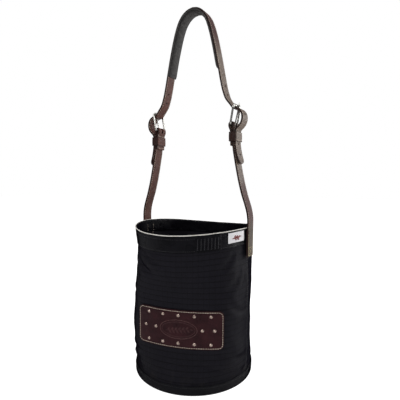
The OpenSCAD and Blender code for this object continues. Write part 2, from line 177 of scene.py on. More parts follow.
def arc(cx, cy, radius, degrees):
    angles = [math.radians(a) for a in degrees]
    return [(cx + radius * math.cos(a), cy + radius * math.sin(a)) for a in angles]


def rounded_rectangle(x0, x1, y0, y1, radius, first, arc_steps, line_steps):
    """Anticlockwise outline from the arc of corner `first` (0 is x1, y1).

    line_steps counts the steps on the sides along x and along y.
    """
    corners = [(x1 - radius, y1 - radius), (x0 + radius, y1 - radius),
               (x0 + radius, y0 + radius), (x1 - radius, y0 + radius)]
    points = []
    for turn in range(first, first + 4):
        bend = arc(*corners[turn % 4], radius,
                   [90 * (turn + i / arc_steps) for i in range(arc_steps + 1)])
        start = np.array(bend[-1])
        step = arc(*corners[(turn + 1) % 4], radius, [90 * (turn + 1)])[0] - start
        count = line_steps[turn % 2]
        points += bend[:-1] + [start + step * i / count for i in range(count)]
    return np.array(points)


def mirrored(points, side):
    """A copy of the points, with X turned over for side -1."""
    points = np.array(points, float)
    if side < 0:
        points[..., 0] *= -1
    return points


# ---------------------------------------------------------------- shape of the soft wall
FLAT_AZ, EASE_AZ = 36.0, 52   # half angle of the flat under the patch; run back to round


def flat_r(angle):
    angle = np.radians(angle)
    return -PATCH_BACK * np.cos(angle) + np.sqrt(PATCH_R ** 2 - (PATCH_BACK * np.sin(angle)) ** 2)


def dent(az):
    """Change of radius where the wall is flattened under the patch."""
    away = np.abs(wrap(az - PATCH_AZ))
    edge = flat_r(FLAT_AZ) - R
    slope = flat_r(FLAT_AZ) - flat_r(FLAT_AZ - 1)
    u = np.clip((away - FLAT_AZ) / EASE_AZ, 0, 1)
    blend = edge * (2 * u ** 3 - 3 * u ** 2 + 1) + EASE_AZ * slope * (u ** 3 - 2 * u ** 2 + u)
    return np.where(away < FLAT_AZ, flat_r(np.minimum(away, 40)) - R, blend)


def hang(az, z):
    """Fabric hanging in below the rim, between the left side and the front."""
    return -4.2 * bell(wrap(np.asarray(az, float) + 52), 19.0) * (
        1 - ease(300, 341, z)) * ease(130, 235, z)


def bag_pt(az, offset, z):
    """Point on the bag, offset outwards from the clean wall."""
    az, offset, z = np.broadcast_arrays(*(np.asarray(a, float) for a in (az, offset, z)))
    dent_z = ease(16, 84, z) * (1 - ease(190, 292, z))
    r = R + dent(az) * dent_z + hang(az, z) + offset
    a = np.radians(az)
    rise = -LIFT * np.cos(np.radians(2 * az)) * ease(180, 320, z)
    return np.stack([r * np.sin(a), -r * np.cos(a), z + rise], -1)


def outward(az):
    a = np.radians(az)
    return np.stack([np.sin(a), -np.cos(a), 0 * a], -1)


def crease(az, z, az0, z0, az1, z1, width, depth, bow):
    """A soft fold running from (az0, z0) to (az1, z1)."""
    x, y = wrap(az - az0) * MM_DEG, z - z0
    dx, dy = wrap(az1 - az0) * MM_DEG, z1 - z0
    length = math.hypot(dx, dy)
    t = (x * dx + y * dy) / (length * length)
    n = (-x * dy + y * dx) / length + bow * 4 * t * (1 - t)
    fade = ease(-0.12, 0.25, t) * (1 - ease(0.7, 1.12, t))
    return depth * fade * (bell(n, width) - 0.55 * bell(n - 1.7 * width, width)
                           - 0.3 * bell(n + 1.8 * width, 1.1 * width))


# start azimuth, start z, end azimuth, end z, width, depth, bow
FOLDS = [
    (-44, 296, -6, 252, 7, -1.9, 9), (-30, 304, 8, 276, 5, -1.3, 6),
    (-58, 268, -30, 232, 6, -1.3, -6), (-62, 214, -34, 196, 6, -1.2, 5),
    (70, 300, 52, 258, 7, -1.2, -5), (78, 262, 56, 214, 8, -1.3, -8),
    (60, 196, 84, 160, 7, -1.3, 6), (50, 92, 82, 60, 7, -1.4, 6),
    (-22, 74, -60, 44, 7, -1.5, 6), (-8, 66, 22, 46, 6, -1.0, -5),
    (30, 62, 66, 34, 6, -1.2, -5), (-70, 92, -46, 58, 6, -1.4, 4),
    (118, 290, 150, 240, 8, -1.6, 8), (196, 300, 170, 262, 7, -1.4, -6),
    (232, 250, 200, 206, 8, -1.5, 7), (140, 176, 176, 140, 8, -1.4, -7),
    (250, 150, 220, 104, 7, -1.4, 6), (120, 90, 158, 52, 7, -1.5, 6),
    (204, 70, 170, 40, 6, -1.3, -5), (258, 290, 240, 262, 5, -1.2, 3),
]


def wrinkle(az, z):
    """How far the fabric stands in or out of the clean wall."""
    az, z = np.asarray(az, float), np.asarray(z, float)
    out = 1.25 * ring_noise(az, 14, z / 62, 3) + 0.75 * ring_noise(az, 30, z / 30, 5, z / 90)
    out = out + 0.34 * ring_noise(az, 64, z / 17, 7, z / 60)
    for fold in FOLDS:
        out = out + 1.45 * crease(az, z, *fold)
    # pinched in just above the base binding
    out = out - bell(z - 27, 8.0) * (1.6 + 1.5 * ring_noise(az, 46, 3.3, 11))
    # slack on the right towards the back, below the middle
    out = out - 3.6 * bell(wrap(az - 122), 26.0) * ease(30, 90, z) * (1 - ease(150, 215, z))
    # tight at the rim and base, and flat under the patch and the strap tabs
    free = (1 - ease(286, 308, z)) * ease(8, 24, z)
    under_patch = (1 - ease(23.5, 30, np.abs(wrap(az - PATCH_AZ)))) * ease(78, 94, z) * (
        1 - ease(PATCH_Z * 2 - 94, PATCH_Z * 2 - 78, z))
    under_tabs = (1 - ease(7, 12, from_side(az))) * ease(262, 282, z)
    return out * free * (1 - under_patch) * (1 - under_tabs)


def wall_offset(az, z, lapped):
    """Wrinkles, fine ribs every 12 mm, and the front panel's lap over the back one."""
    rib = -0.22 * bell((z - 6) % 12.0 - 6, 1.1)
    out = wrinkle(az, z) + rib * ease(22, 34, z) * (1 - ease(300, 306, z))
    if lapped:
        for side in (-90, 90):
            d = np.abs(wrap(az - side)) * MM_DEG
            out = out + 0.55 * (1 - ease(7.5, 8.6, d))
            out = out - 0.35 * bell(d - 2.0, 0.9) - 0.35 * bell(d - 6.0, 0.9)
    return out


# ---------------------------------------------------------------- mesh helpers
def make(name, verts, faces, uv=None, attrs=None, weld=False, sharp=None):
    """Object from verts in mm, a list of (n, k) face arrays and per-vertex uv in metres."""
    verts = np.asarray(verts, float) * 0.001
    mesh = bpy.data.meshes.new(name)
    loops = np.concatenate([np.asarray(f, np.int32).ravel() for f in faces])
    totals = np.concatenate([np.full(len(f), np.asarray(f).shape[1], np.int32) for f in faces])
    starts = np.concatenate([[0], np.cumsum(totals)[:-1]]).astype(np.int32)
    mesh.vertices.add(len(verts))
    mesh.vertices.foreach_set("co", verts.astype(np.float32).ravel())
    mesh.loops.add(len(loops))
    mesh.loops.foreach_set("vertex_index", loops)
    mesh.polygons.add(len(totals))
    mesh.polygons.foreach_set("loop_start", starts)
    mesh.polygons.foreach_set("loop_total", totals)
    mesh.update(calc_edges=True)
    if uv is not None:
        layer = mesh.uv_layers.new(name="UVMap")
        layer.data.foreach_set("uv", np.asarray(uv, np.float32)[loops].ravel())
    for key, values in (attrs or {}).items():
        add_attribute(mesh, key, values)
    bm = bmesh.new()
    bm.from_mesh(mesh)
    if weld:
        bmesh.ops.remove_doubles(bm, verts=bm.verts, dist=2e-6)
    bmesh.ops.recalc_face_normals(bm, faces=bm.faces)
    shade_smooth(bm, mesh, sharp)
    ob = bpy.data.objects.new(name, mesh)
    bpy.context.scene.collection.objects.link(ob)
    return ob


def add_attribute(mesh, name, values):
    attribute = mesh.attributes.new(name, "FLOAT", "POINT")
    attribute.data.foreach_set("value", np.asarray(values, np.float32).ravel())


def shade_smooth(bm, mesh, sharp):
    """Writes bm to the mesh and shades it smooth, but for edges over `sharp` degrees."""
    bm.to_mesh(mesh)
    bm.free()
    mesh.polygons.foreach_set("use_smooth", np.ones(len(mesh.polygons), bool))
    if sharp:
        mesh.set_sharp_from_angle(angle=math.radians(sharp))


def grid_faces(nu, nv):
    i, j = np.meshgrid(np.arange(nu - 1), np.arange(nv - 1), indexing="ij")
    a = (i * nv + j).ravel()
    return np.stack([a, a + nv, a + nv + 1, a + 1], 1)


def tube_faces(rings, k):
    """Quads between rings of k points, each ring closed."""
    i, j = np.meshgrid(np.arange(rings - 1), np.arange(k), indexing="ij")
    j2 = (j + 1) % k
    return np.stack([i * k + j, (i + 1) * k + j, (i + 1) * k + j2, i * k + j2], -1).reshape(-1, 4)


def fit(ob, material, slot, *nodes, body="bag", blend=None):
    """Gives a piece its material, parents it to the body it moves with or bakes its transform when
    blend is given, and hides the CAD parts it stands for.
    """
    ob.data.materials.clear()
    ob.data.materials.append(material)
    if blend:
        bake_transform(ob)
    else:
        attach(ob, body)
    if nodes:
        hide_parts(*nodes)


def two_sided(name, outer, inner, uv, sharp):
    """Closed sheet between two grids of points, its second direction folded back."""
    verts = np.concatenate([outer, inner[:, ::-1]], 1)
    n, nz = verts.shape[:2]
    q = np.arange(nz // 2 - 1)
    end = np.stack([q, q + 1, nz - 2 - q, nz - 1 - q], 1)
    uv = np.concatenate([uv, uv[:, ::-1]], 1)
    return make(name, verts.reshape(-1, 3), [tube_faces(n, nz), end, (end + (n - 1) * nz)[:, ::-1]],
                uv.reshape(-1, 2), sharp=sharp)


def slab(name, top, bottom, u, v, sharp, attrs=None):
    """Closed plate between two grids of points; u and v in mm."""
    nu, nv = top.shape[:2]
    n = nu * nv
    grid = grid_faces(nu, nv)
    border = np.concatenate([
        np.arange(nv), nv * np.arange(1, nu) + nv - 1,
        (nu - 1) * nv + np.arange(nv - 2, -1, -1), nv * np.arange(nu - 2, 0, -1)])
    after = np.roll(border, -1)
    edge = np.stack([border, after, after + n, border + n], 1)
    uv = np.stack([u * 0.001, v * 0.001], -1).reshape(-1, 2)
    return make(name, np.concatenate([top.reshape(-1, 3), bottom.reshape(-1, 3)]),
                [grid, (grid + n)[:, ::-1], edge], np.concatenate([uv, uv]), attrs, sharp=sharp)


def around(name, profile, n, material, slot, node, shape):
    """Closed profile of (offset, height) carried round the bag; shape() roughens it."""
    az = np.linspace(0.0, 360.0, n + 1)
    profile = np.vstack([profile, profile[:1]])
    m = len(profile)
    all_az = np.repeat(az[:, None], m, 1)
    offset = np.repeat(profile[None, :, 0], n + 1, 0)
    z = np.repeat(profile[None, :, 1], n + 1, 0)
    offset, z = shape(all_az, offset, z)
    uv = np.stack(np.broadcast_arrays(
        np.radians(az)[:, None] * R * 0.001, lengths(profile)[None] * 0.001), -1)
    ob = make(name, bag_pt(all_az, offset, z).reshape(-1, 3), [grid_faces(n + 1, m)],
              uv.reshape(-1, 2), weld=True)
    fit(ob, material, slot, node)


def mark_leather(ob):
    """Marks the leather's flanks and outer face, and the bands of the outer face that carry a
    painted sheen.
    """
    mesh = ob.data
    n = len(mesh.vertices)
    co, normal = np.empty(n * 3, np.float32), np.empty(n * 3, np.float32)
    mesh.vertices.foreach_get("co", co)
    mesh.vertex_normals.foreach_get("vector", normal)
    co, normal = co.reshape(-1, 3) * 1000, normal.reshape(-1, 3)
    z = co[:, 2]
    facing = normal[:, 0] * np.sign(co[:, 0]) + 0.4 * normal[:, 2] * (z > 620)
    add_attribute(mesh, "flank", ease(0.4, 0.85, np.abs(normal[:, 1])))
    add_attribute(mesh, "outer", ease(0.0, 0.5, facing))
    # the next two marks carry painted sheen on the outer face: a taupe band along the straight runs
    # and an olive band low at the tabs
    add_attribute(mesh, "worn", ease(385, 520, z) * (1 - ease(705, 830, z)))
    add_attribute(mesh, "olive", 1 - ease(330, 388, z))


# one stitch: stations along it from -1 to 1, and its thickness at each
STITCH_X = np.array([-1, -0.86, -0.5, 0, 0.5, 0.86, 1.0])
STITCH_R = np.array([0.35, 0.8, 1, 1, 1, 0.8, 0.35])


def stitches(name, rows, size, material, *nodes, body="bag", slot="thread", blend=None,
             sink=0.25, tilt=0.0):
    """Thread stitches; rows are positions, directions and outward normals,
    size is length, width and height, and sink is how far the ends dip."""
    pos, along, normal = (np.asarray(a, float).reshape(-1, 3) for a in rows)
    length, width, height = size
    along = unit(along)
    normal = unit(normal - (normal * along).sum(1)[:, None] * along)
    across = np.cross(normal, along)
    if tilt:
        along = along * math.cos(tilt) + across * math.sin(tilt)
        across = np.cross(normal, along)
    k = 8
    angle = np.arange(k) * 2 * pi / k
    x = np.repeat(STITCH_X, k) * length / 2
    y = (STITCH_R[:, None] * np.cos(angle)).ravel() * width / 2
    z = (STITCH_R[:, None] * np.sin(angle)).ravel() * height / 2
    z = z - np.repeat(STITCH_X ** 4, k) * sink
    verts = (pos[:, None] + along[:, None] * x[None, :, None] + across[:, None] * y[None, :, None]
             + normal[:, None] * z[None, :, None])
    first = (np.arange(len(pos)) * len(x))[:, None]
    faces = (tube_faces(len(STITCH_X), k)[None] + first[:, None]).reshape(-1, 4)
    start = np.arange(k)[None, ::-1] + first
    end = (len(STITCH_X) - 1) * k + np.arange(k)[None] + first
    uv = np.stack([np.tile((np.repeat(STITCH_X, k) + 1) * length / 2 * 0.001, len(pos)),
                   np.tile(np.tile(angle, len(STITCH_X)) / (2 * pi) * 0.003, len(pos))], 1)
    ob = make(name, verts.reshape(-1, 3), [faces, start, end], uv)
    fit(ob, material, slot, *nodes, body=body, blend=blend)


def join_rows(rows):
    return [np.concatenate([row[i] for row in rows]) for i in range(3)]


def cut(ob, cutter):
    modifier = ob.modifiers.new("cut", "BOOLEAN")
    modifier.object = cutter
    modifier.solver = "EXACT"
    modifier.operation = "DIFFERENCE"
    depsgraph = bpy.context.evaluated_depsgraph_get()
    mesh = bpy.data.meshes.new_from_object(ob.evaluated_get(depsgraph))
    ob.modifiers.clear()
    ob.data = mesh
    cutter_mesh = cutter.data
    bpy.data.objects.remove(cutter)
    bpy.data.meshes.remove(cutter_mesh)
    # the cut leaves slivers a micron wide
    bm = bmesh.new()
    bm.from_mesh(mesh)
    bmesh.ops.remove_doubles(bm, verts=bm.verts, dist=5e-6)
    bmesh.ops.dissolve_degenerate(bm, edges=bm.edges, dist=5e-6)
    shade_smooth(bm, mesh, 50)


# ---------------------------------------------------------------- node helpers
class Nodes:
    """Short calls for building a node tree; values may be numbers or sockets."""
    def __init__(self, tree):
        self.tree = tree

    def put(self, socket, value):
        if isinstance(value, bpy.types.NodeSocket):
            self.tree.links.new(value, socket)
        elif value is not None:
            socket.default_value = value

    def node(self, kind, inputs=(), out=0, **settings):
        node = self.tree.nodes.new("ShaderNode" + kind)
        for key, value in settings.items():
            setattr(node, key, value)
        for key, value in dict(inputs).items():
            self.put(node.inputs[key], value)
        return node.outputs[out]

    def mix(self, factor, a, b):
        a, b = (c if isinstance(c, bpy.types.NodeSocket) else tuple(c) + (1.0,) for c in (a, b))
        return self.node("Mix", {0: factor, 6: a, 7: b}, out=2, data_type="RGBA")


class Mat(Nodes):
    """A material round its Principled BSDF."""
    def __init__(self, name):
        self.material = bpy.data.materials.new(name)
        self.material.use_nodes = True
        super().__init__(self.material.node_tree)
        self.bsdf = self.tree.nodes["Principled BSDF"]

    def calc(self, operation, *values):
        return self.node("Math", enumerate(values), operation=operation)

    def times(self, a, b):
        return self.calc("MULTIPLY", a, b)

    def plus(self, a, b):
        return self.calc("ADD", a, b)

    def inverse(self, a):
        return self.calc("SUBTRACT", 1.0, a)

    def remap(self, value, span, to=(0.0, 1.0)):
        return self.node("MapRange", {
            "Value": value, "From Min": span[0], "From Max": span[1],
            "To Min": to[0], "To Max": to[1]}, interpolation_type="SMOOTHSTEP")

    def tones(self, field, span, low, high):
        """Colour running from low to high over the span of a field."""
        return self.mix(self.remap(field, span), low, high)

    def tint(self, base, mask, amount, color):
        return self.mix(self.times(mask, amount), base, color)

    def coord(self, kind="Object"):
        return self.node("TexCoord", out=kind)

    def split(self, vector):
        return self.node("SeparateXYZ", {0: vector}).node.outputs

    def uv(self):
        vector = self.coord("UV")
        u, v, _ = self.split(vector)
        return vector, u, v

    def noise(self, vector, scale, detail=3.0, rough=0.55, distortion=0.0):
        return self.node("TexNoise", {
            "Scale": scale, "Detail": detail, "Roughness": rough, "Distortion": distortion,
            "Vector": vector}, out="Fac")

    def pores(self, vector, scale):
        return self.node("TexVoronoi", {"Scale": scale, "Randomness": 1.0, "Vector": vector},
                         out="Distance", feature="DISTANCE_TO_EDGE")

    def scaled(self, vector, scale):
        return self.node("Mapping", {"Vector": vector, "Scale": scale})

    def glance(self, value, span=(0.3, 0.75)):
        """value seen square on, falling to nothing where the surface turns away."""
        facing = self.node("LayerWeight", {"Blend": 0.5}, out="Facing")
        return self.remap(facing, span, to=(value, 0.0))

    def attr(self, name):
        return self.node("Attribute", out="Fac", attribute_name=name)

    def bump(self, height, strength, distance, normal=None):
        return self.node("Bump", {"Strength": strength, "Distance": distance, "Height": height,
                                  "Normal": normal})

    def line(self, coordinate, pitch, width):
        """1 on thin lines every pitch, 0 between."""
        part = self.calc("FRACT", self.calc("DIVIDE", coordinate, pitch))
        away = self.calc("ABSOLUTE", self.calc("SUBTRACT", part, 0.5))
        return self.remap(away, span=(0.5 - width / pitch, 0.5 - width / pitch * 0.35))

    def sine(self, coordinate, pitch):
        """A wave between 0 and 1."""
        wave = self.calc("SINE", self.times(coordinate, 2 * pi / pitch))
        return self.calc("MULTIPLY_ADD", wave, 0.5, 0.5)

    def finish(self, color, rough, normal=None, metallic=0.0, spec=None, sheen=None,
               sheen_tint=None, coat=None):
        values = {"Base Color": color, "Roughness": rough, "Metallic": metallic,
                  "Normal": normal, "Specular IOR Level": spec}
        if sheen is not None:
            values.update({"Sheen Weight": sheen, "Sheen Roughness": 0.45})
        if sheen_tint:
            values["Sheen Tint"] = sheen_tint + (1.0,)
        if coat is not None:
            values.update({"Coat Weight": coat, "Coat Roughness": 0.25})
        for key, value in values.items():
            self.put(self.bsdf.inputs[key], value)
        return self.material


def dim(color, k):
    return tuple(k * x for x in color)


# ---------------------------------------------------------------- materials
def fabric_material():
    """Black ripstop: a 12 mm grid of ribs over a fine weave, lighter in faint patches low down."""
    mat = Mat("ripstop_fabric")
    uv, u, v = mat.uv()
    pos = mat.coord()
    rows = mat.line(v, pitch=0.012, width=0.0011)
    columns = mat.line(u, pitch=0.012, width=0.0008)
    cloud = mat.noise(pos, scale=26.0, detail=4.0)
    fine = mat.noise(mat.scaled(uv, scale=(1.0, 1.0, 1.0)), scale=900.0, detail=2.0)
    base = mat.tones(cloud, span=(0.3, 0.7), low=(0.0056, 0.0051, 0.0074),
                     high=(0.0096, 0.0088, 0.0124))
    base = mat.tones(fine, span=(0.35, 0.65), low=base, high=(0.0112, 0.0104, 0.0146))
    base = mat.tint(base, rows, amount=0.82, color=(0.0022, 0.0020, 0.0030))
    base = mat.tint(base, columns, amount=0.42, color=(0.0030, 0.0028, 0.0038))
    # lighter in faint patches towards the floor
    near_floor = mat.remap(mat.split(pos)[2], span=(0.07, 0.0))
    patches = mat.remap(mat.noise(pos, scale=60.0, detail=5.0), span=(0.45, 0.75))
    base = mat.tint(base, mat.times(near_floor, patches), amount=0.22,
                    color=(0.05, 0.046, 0.042))
    weave = mat.times(mat.sine(u, pitch=0.0009), mat.sine(v, pitch=0.0009))
    normal = mat.bump(weave, strength=0.25, distance=0.0004)
    ribs = mat.plus(rows, mat.times(columns, 0.6))
    normal = mat.bump(ribs, strength=0.55, distance=0.0007, normal=normal)
    normal = mat.bump(mat.noise(pos, scale=70.0, detail=4.0), strength=0.25, distance=0.0025,
                      normal=normal)
    return mat.finish(base, mat.remap(cloud, span=(0.3, 0.7), to=(0.5, 0.64)), normal,
                      spec=mat.glance(0.07), sheen=mat.glance(0.02),
                      sheen_tint=(0.75, 0.74, 0.85))


def webbing_material(name, light=1.0, rough=(0.22, 0.34), spec=0.09):
    mat = Mat(name)
    _, u, v = mat.uv()
    pos = mat.coord()
    cloud = mat.noise(pos, scale=40.0, detail=4.0)
    ribs = mat.sine(u, pitch=0.0015)
    cross = mat.sine(v, pitch=0.0011)
    base = mat.tones(cloud, span=(0.3, 0.7), low=dim((0.0022, 0.0021, 0.0034), light),
                     high=dim((0.0056, 0.0052, 0.0075), light))
    base = mat.tint(base, ribs, amount=0.35, color=(0.0012, 0.0012, 0.002))
    normal = mat.bump(mat.calc("MULTIPLY_ADD", cross, 0.35, ribs), strength=0.45,
                      distance=0.0005)
    normal = mat.bump(mat.noise(pos, scale=85.0), strength=0.3, distance=0.002, normal=normal)
    return mat.finish(base, mat.remap(cloud, span=(0.25, 0.75), to=rough), normal,
                      spec=mat.glance(spec), sheen=mat.glance(0.01),
                      sheen_tint=(0.7, 0.7, 0.85))


def cord_material(name, light, dark, pitch=0.0011, rough=0.7, spec=0.3):
    """Twisted thread or cord."""
    mat = Mat(name)
    _, u, v = mat.uv()
    pos = mat.coord()
    twist = mat.sine(mat.plus(u, mat.times(v, 0.5)), pitch)
    grime = mat.noise(pos, scale=130.0, detail=4.0)
    base = mat.tones(grime, span=(0.35, 0.75), low=light, high=dark)
    # painted shade in the grooves of the twist
    base = mat.tint(base, mat.inverse(twist), amount=0.35, color=dim(dark, 0.45))
    return mat.finish(base, rough, mat.bump(twist, strength=0.6, distance=0.0003), spec=spec,
                      sheen=0.08)


def leather_material(name, dark, light, edge, rough, spec, coat, wear_amount, creases=False,
                     face=None, pressed=None):
    """face: dark and light tones of the outer side: plain, in a taupe painted sheen along the
    straight runs, and in an olive painted sheen at the tabs;
    pressed: colour of the raised relief, a lighter burnish and a painted highlight."""
    mat = Mat(name)
    pos = mat.coord()
    cloud = mat.noise(pos, scale=34.0, detail=5.0, rough=0.6)
    mottle = mat.noise(pos, scale=210.0, detail=4.0, rough=0.6)
    pores = mat.pores(pos, scale=825.0)

    def hide(tones):
        return mat.tones(cloud, span=(0.28, 0.72), low=tones[0], high=tones[1])

    base = hide((dark, light))
    if face:
        # painted sheen: taupe along the straight runs and olive brown at the tabs, standing in for
        # light glancing off the outer face
        soft = mat.remap(mat.noise(pos, scale=22.0), span=(0.2, 0.8), to=(-0.22, 0.22))
        worn = mat.remap(mat.plus(mat.attr("worn"), soft), span=(0.1, 0.9))
        olive = mat.remap(mat.plus(mat.attr("olive"), soft), span=(0.15, 0.85))
        outer = hide(face["new"])
        outer = mat.mix(worn, outer, hide(face["worn"]))
        outer = mat.mix(olive, outer, hide(face["olive"]))
        base = mat.mix(mat.attr("outer"), base, outer)
        spec = mat.plus(spec, mat.times(mat.times(mat.attr("outer"), worn), 0.16))
    base = mat.tint(base, mat.remap(mottle, span=(0.5, 0.75)), amount=0.45,
                    color=dim(dark, 0.55))
    base = mat.tint(base, mat.remap(pores, span=(0.10, 0.0)), amount=0.35,
                    color=dim(dark, 0.35))
    wear = mat.attr("wear")
    patchy = mat.remap(mat.noise(pos, scale=160.0, detail=5.0), span=(0.38, 0.62),
                       to=(0.35, 1.0))
    base = mat.tint(base, mat.times(wear, patchy), wear_amount, edge)
    base = mat.tint(base, mat.attr("flank"), amount=0.86, color=edge)
    # lighter burnish and painted highlight on the raised relief
    if pressed:
        patchy = mat.remap(mat.noise(pos, scale=300.0, detail=4.0), span=(0.3, 0.6),
                           to=(0.45, 0.9))
        base = mat.tint(base, mat.attr("press"), patchy, pressed)
        spec = mat.glance(spec, span=(0.5, 0.9))
        coat = mat.glance(coat, span=(0.5, 0.9))
    grain = mat.plus(mat.remap(pores, span=(0.0, 0.16)), mat.times(mottle, 0.7))
    normal = mat.bump(grain, strength=0.32, distance=0.0006)
    if creases:
        lines = mat.noise(mat.scaled(mat.coord("UV"), scale=(1.0, 0.22, 1.0)), scale=620.0,
                          rough=0.5, distortion=0.6)
        normal = mat.bump(lines, strength=0.22, distance=0.0012, normal=normal)
    rough = mat.plus(mat.remap(cloud, span=(0.25, 0.75), to=rough), mat.times(wear, 0.06))
    return mat.finish(base, rough, normal, spec=spec, coat=coat)


def metal_material(name, light, dark, rough=(0.10, 0.24), tarnish=(0.12, 0.10, 0.07),
                   amount=0.35):
    mat = Mat(name)
    pos = mat.coord()
    cloud = mat.noise(pos, scale=180.0, detail=5.0, rough=0.6)
    brushed = mat.noise(mat.scaled(pos, scale=(1.0, 1.0, 14.0)), scale=420.0)
    base = mat.tones(cloud, span=(0.3, 0.7), low=light, high=dark)
    spots = mat.remap(mat.noise(pos, scale=520.0, detail=4.0), span=(0.55, 0.8))
    base = mat.tint(base, spots, amount, tarnish)
    # the dark surround of the room shows where the metal turns away
    base = mat.mix(mat.inverse(mat.glance(1.0, span=(0.38, 0.80))), base, dim(dark, 0.10))
    return mat.finish(base, mat.remap(cloud, span=(0.25, 0.75), to=rough),
                      mat.bump(brushed, strength=0.05, distance=0.0003), metallic=1.0)


def pad_material():
    mat = Mat("pad_weave")
    _, u, v = mat.uv()
    pos = mat.coord()
    weave = mat.times(mat.sine(mat.plus(u, v), pitch=0.0022),
                      mat.sine(mat.calc("SUBTRACT", u, v), pitch=0.0022))
    cloud = mat.noise(pos, scale=60.0, detail=5.0)
    base = mat.tones(cloud, span=(0.3, 0.7), low=(0.026, 0.0245, 0.0235),
                     high=(0.046, 0.043, 0.041))
    base = mat.tint(base, weave, amount=0.35, color=(0.075, 0.070, 0.066))
    base = mat.tint(base, mat.attr("seam"), amount=0.8, color=(0.010, 0.010, 0.010))
    normal = mat.bump(weave, strength=0.5, distance=0.0006)
    normal = mat.bump(mat.noise(pos, scale=240.0), strength=0.25, distance=0.001,
                      normal=normal)
    return mat.finish(base, rough=0.78, normal=normal, spec=0.3, sheen=0.22,
                      sheen_tint=(0.9, 0.85, 0.82))


def label_material():
    mat = Mat("label_cloth")
    _, u, v = mat.uv()
    weave = mat.times(mat.sine(u, pitch=0.0007), mat.sine(v, pitch=0.0007))
    base = mat.tones(mat.noise(mat.coord(), scale=120.0, detail=4.0), span=(0.3, 0.7),
                     low=(0.86, 0.84, 0.85), high=(0.96, 0.95, 0.955))
    return mat.finish(base, rough=0.7, normal=mat.bump(weave, strength=0.35, distance=0.0003),
                      spec=0.35, sheen=0.1)


def board_material():
    mat = Mat("stiffener")
    pos = mat.coord()
    grit = mat.noise(pos, scale=400.0, detail=5.0, rough=0.7)
    cloud = mat.noise(pos, scale=30.0, detail=4.0)
    base = mat.tones(grit, span=(0.35, 0.65), low=(0.010, 0.010, 0.011),
                     high=(0.024, 0.023, 0.024))
    base = mat.tint(base, mat.remap(cloud, span=(0.5, 0.8)), amount=0.3,
                    color=(0.05, 0.045, 0.038))
    return mat.finish(base, rough=0.85, normal=mat.bump(grit, strength=0.4, distance=0.0005),
                      spec=0.2)


FABRIC = fabric_material()
WEBBING = webbing_material("webbing")
FACING = webbing_material("inner_facing", light=0.9, rough=(0.55, 0.7), spec=0.08)
BASE_CLOTH = webbing_material("base_binding_cloth", light=1.05, rough=(0.42, 0.6), spec=0.12)
PIPING = cord_material("cream_piping", light=(0.92, 0.90, 0.84), dark=(0.78, 0.74, 0.66),
                       pitch=0.0016)
CREAM = cord_material("cream_thread", light=(0.88, 0.76, 0.62), dark=(0.62, 0.50, 0.40))
GOLD = cord_material("gold_thread", light=(0.62, 0.52, 0.29), dark=(0.40, 0.32, 0.16))
STRAP_THREAD = cord_material("strap_thread", light=(0.84, 0.71, 0.57), dark=(0.56, 0.45, 0.36))
BLACK = cord_material("black_thread", light=(0.016, 0.016, 0.020), dark=(0.008, 0.008, 0.011),
                      rough=0.45, spec=0.5)
BARTACK = cord_material("bartack_thread", light=(0.018, 0.0172, 0.0225),
                        dark=(0.010, 0.010, 0.013), rough=0.4)
# outer face: plain tones, then a taupe painted sheen along the straight runs and an olive painted
# sheen at the tabs
LEATHER = leather_material(
    "strap_leather", dark=(0.084, 0.0285, 0.0195), light=(0.136, 0.0520, 0.0370),
    edge=(0.013, 0.0045, 0.0035), rough=(0.33, 0.46), spec=0.18, coat=0.0, wear_amount=0.92,
    creases=True, face={
        "new": ((0.048, 0.0110, 0.0085), (0.080, 0.0210, 0.0160)),
        "worn": ((0.128, 0.086, 0.060), (0.196, 0.140, 0.102)),
        "olive": ((0.045, 0.027, 0.0105), (0.078, 0.050, 0.0225))})
# pressed: lighter burnish and painted highlight on the raised relief
PATCH_LEATHER = leather_material(
    "patch_leather", dark=(0.0225, 0.0060, 0.0080), light=(0.041, 0.0112, 0.0140),
    edge=(0.014, 0.005, 0.005), rough=(0.26, 0.40), spec=0.10, coat=0.015, wear_amount=0.5,
    pressed=(0.12, 0.060, 0.058))
NICKEL = metal_material("polished_nickel", light=(0.66, 0.65, 0.61), dark=(0.50, 0.49, 0.455))
BRASS = metal_material("antique_stud", light=(0.62, 0.49, 0.42), dark=(0.36, 0.27, 0.23),
                       rough=(0.14, 0.26), tarnish=(0.06, 0.04, 0.035), amount=0.6)
WIRE = metal_material("spring_wire", light=(0.55, 0.55, 0.55), dark=(0.4, 0.4, 0.4),
                      rough=(0.3, 0.45))
PAD = pad_material()
LABEL = label_material()
BOARD = board_material()
RED = cord_material("sprig_thread", light=(0.30, 0.035, 0.030), dark=(0.18, 0.022, 0.020),
                    pitch=0.0008)

# ---------------------------------------------------------------- wall panels
wall_z = np.concatenate([np.arange(2.4, 336.0, 1.5), [337.0]])
for half, az0, az1, n in (("front", -89.9, 89.9, 241), ("back", 90.1, 269.9, 181)):
    az, z = np.meshgrid(np.linspace(az0, az1, n), wall_z, indexing="ij")
    ob = two_sided("wall_" + half, bag_pt(az, wall_offset(az, z, half == "front"), z),
                   bag_pt(az, -WALL_T + 0.85 * wrinkle(az, z), z),
                   np.stack([np.radians(az) * R * 0.001, z * 0.001], -1), sharp=60)
    fit(ob, FABRIC, "bag_fabric", "wall_panel_" + half)

# ---------------------------------------------------------------- webbing folded over the rim
TURN_Z = RIM_Z - 4.2                  # where the webbing starts to turn over
TURN_R = (BAND_OUT - BAND_IN) / 2
TURN_O = -WALL_T / 2
SEW_LOW, SEW_TOP, SEW_IN = BAND_Z0 + 3.2, RIM_Z - 9.5, RIM_Z - 28   # rows of stitching

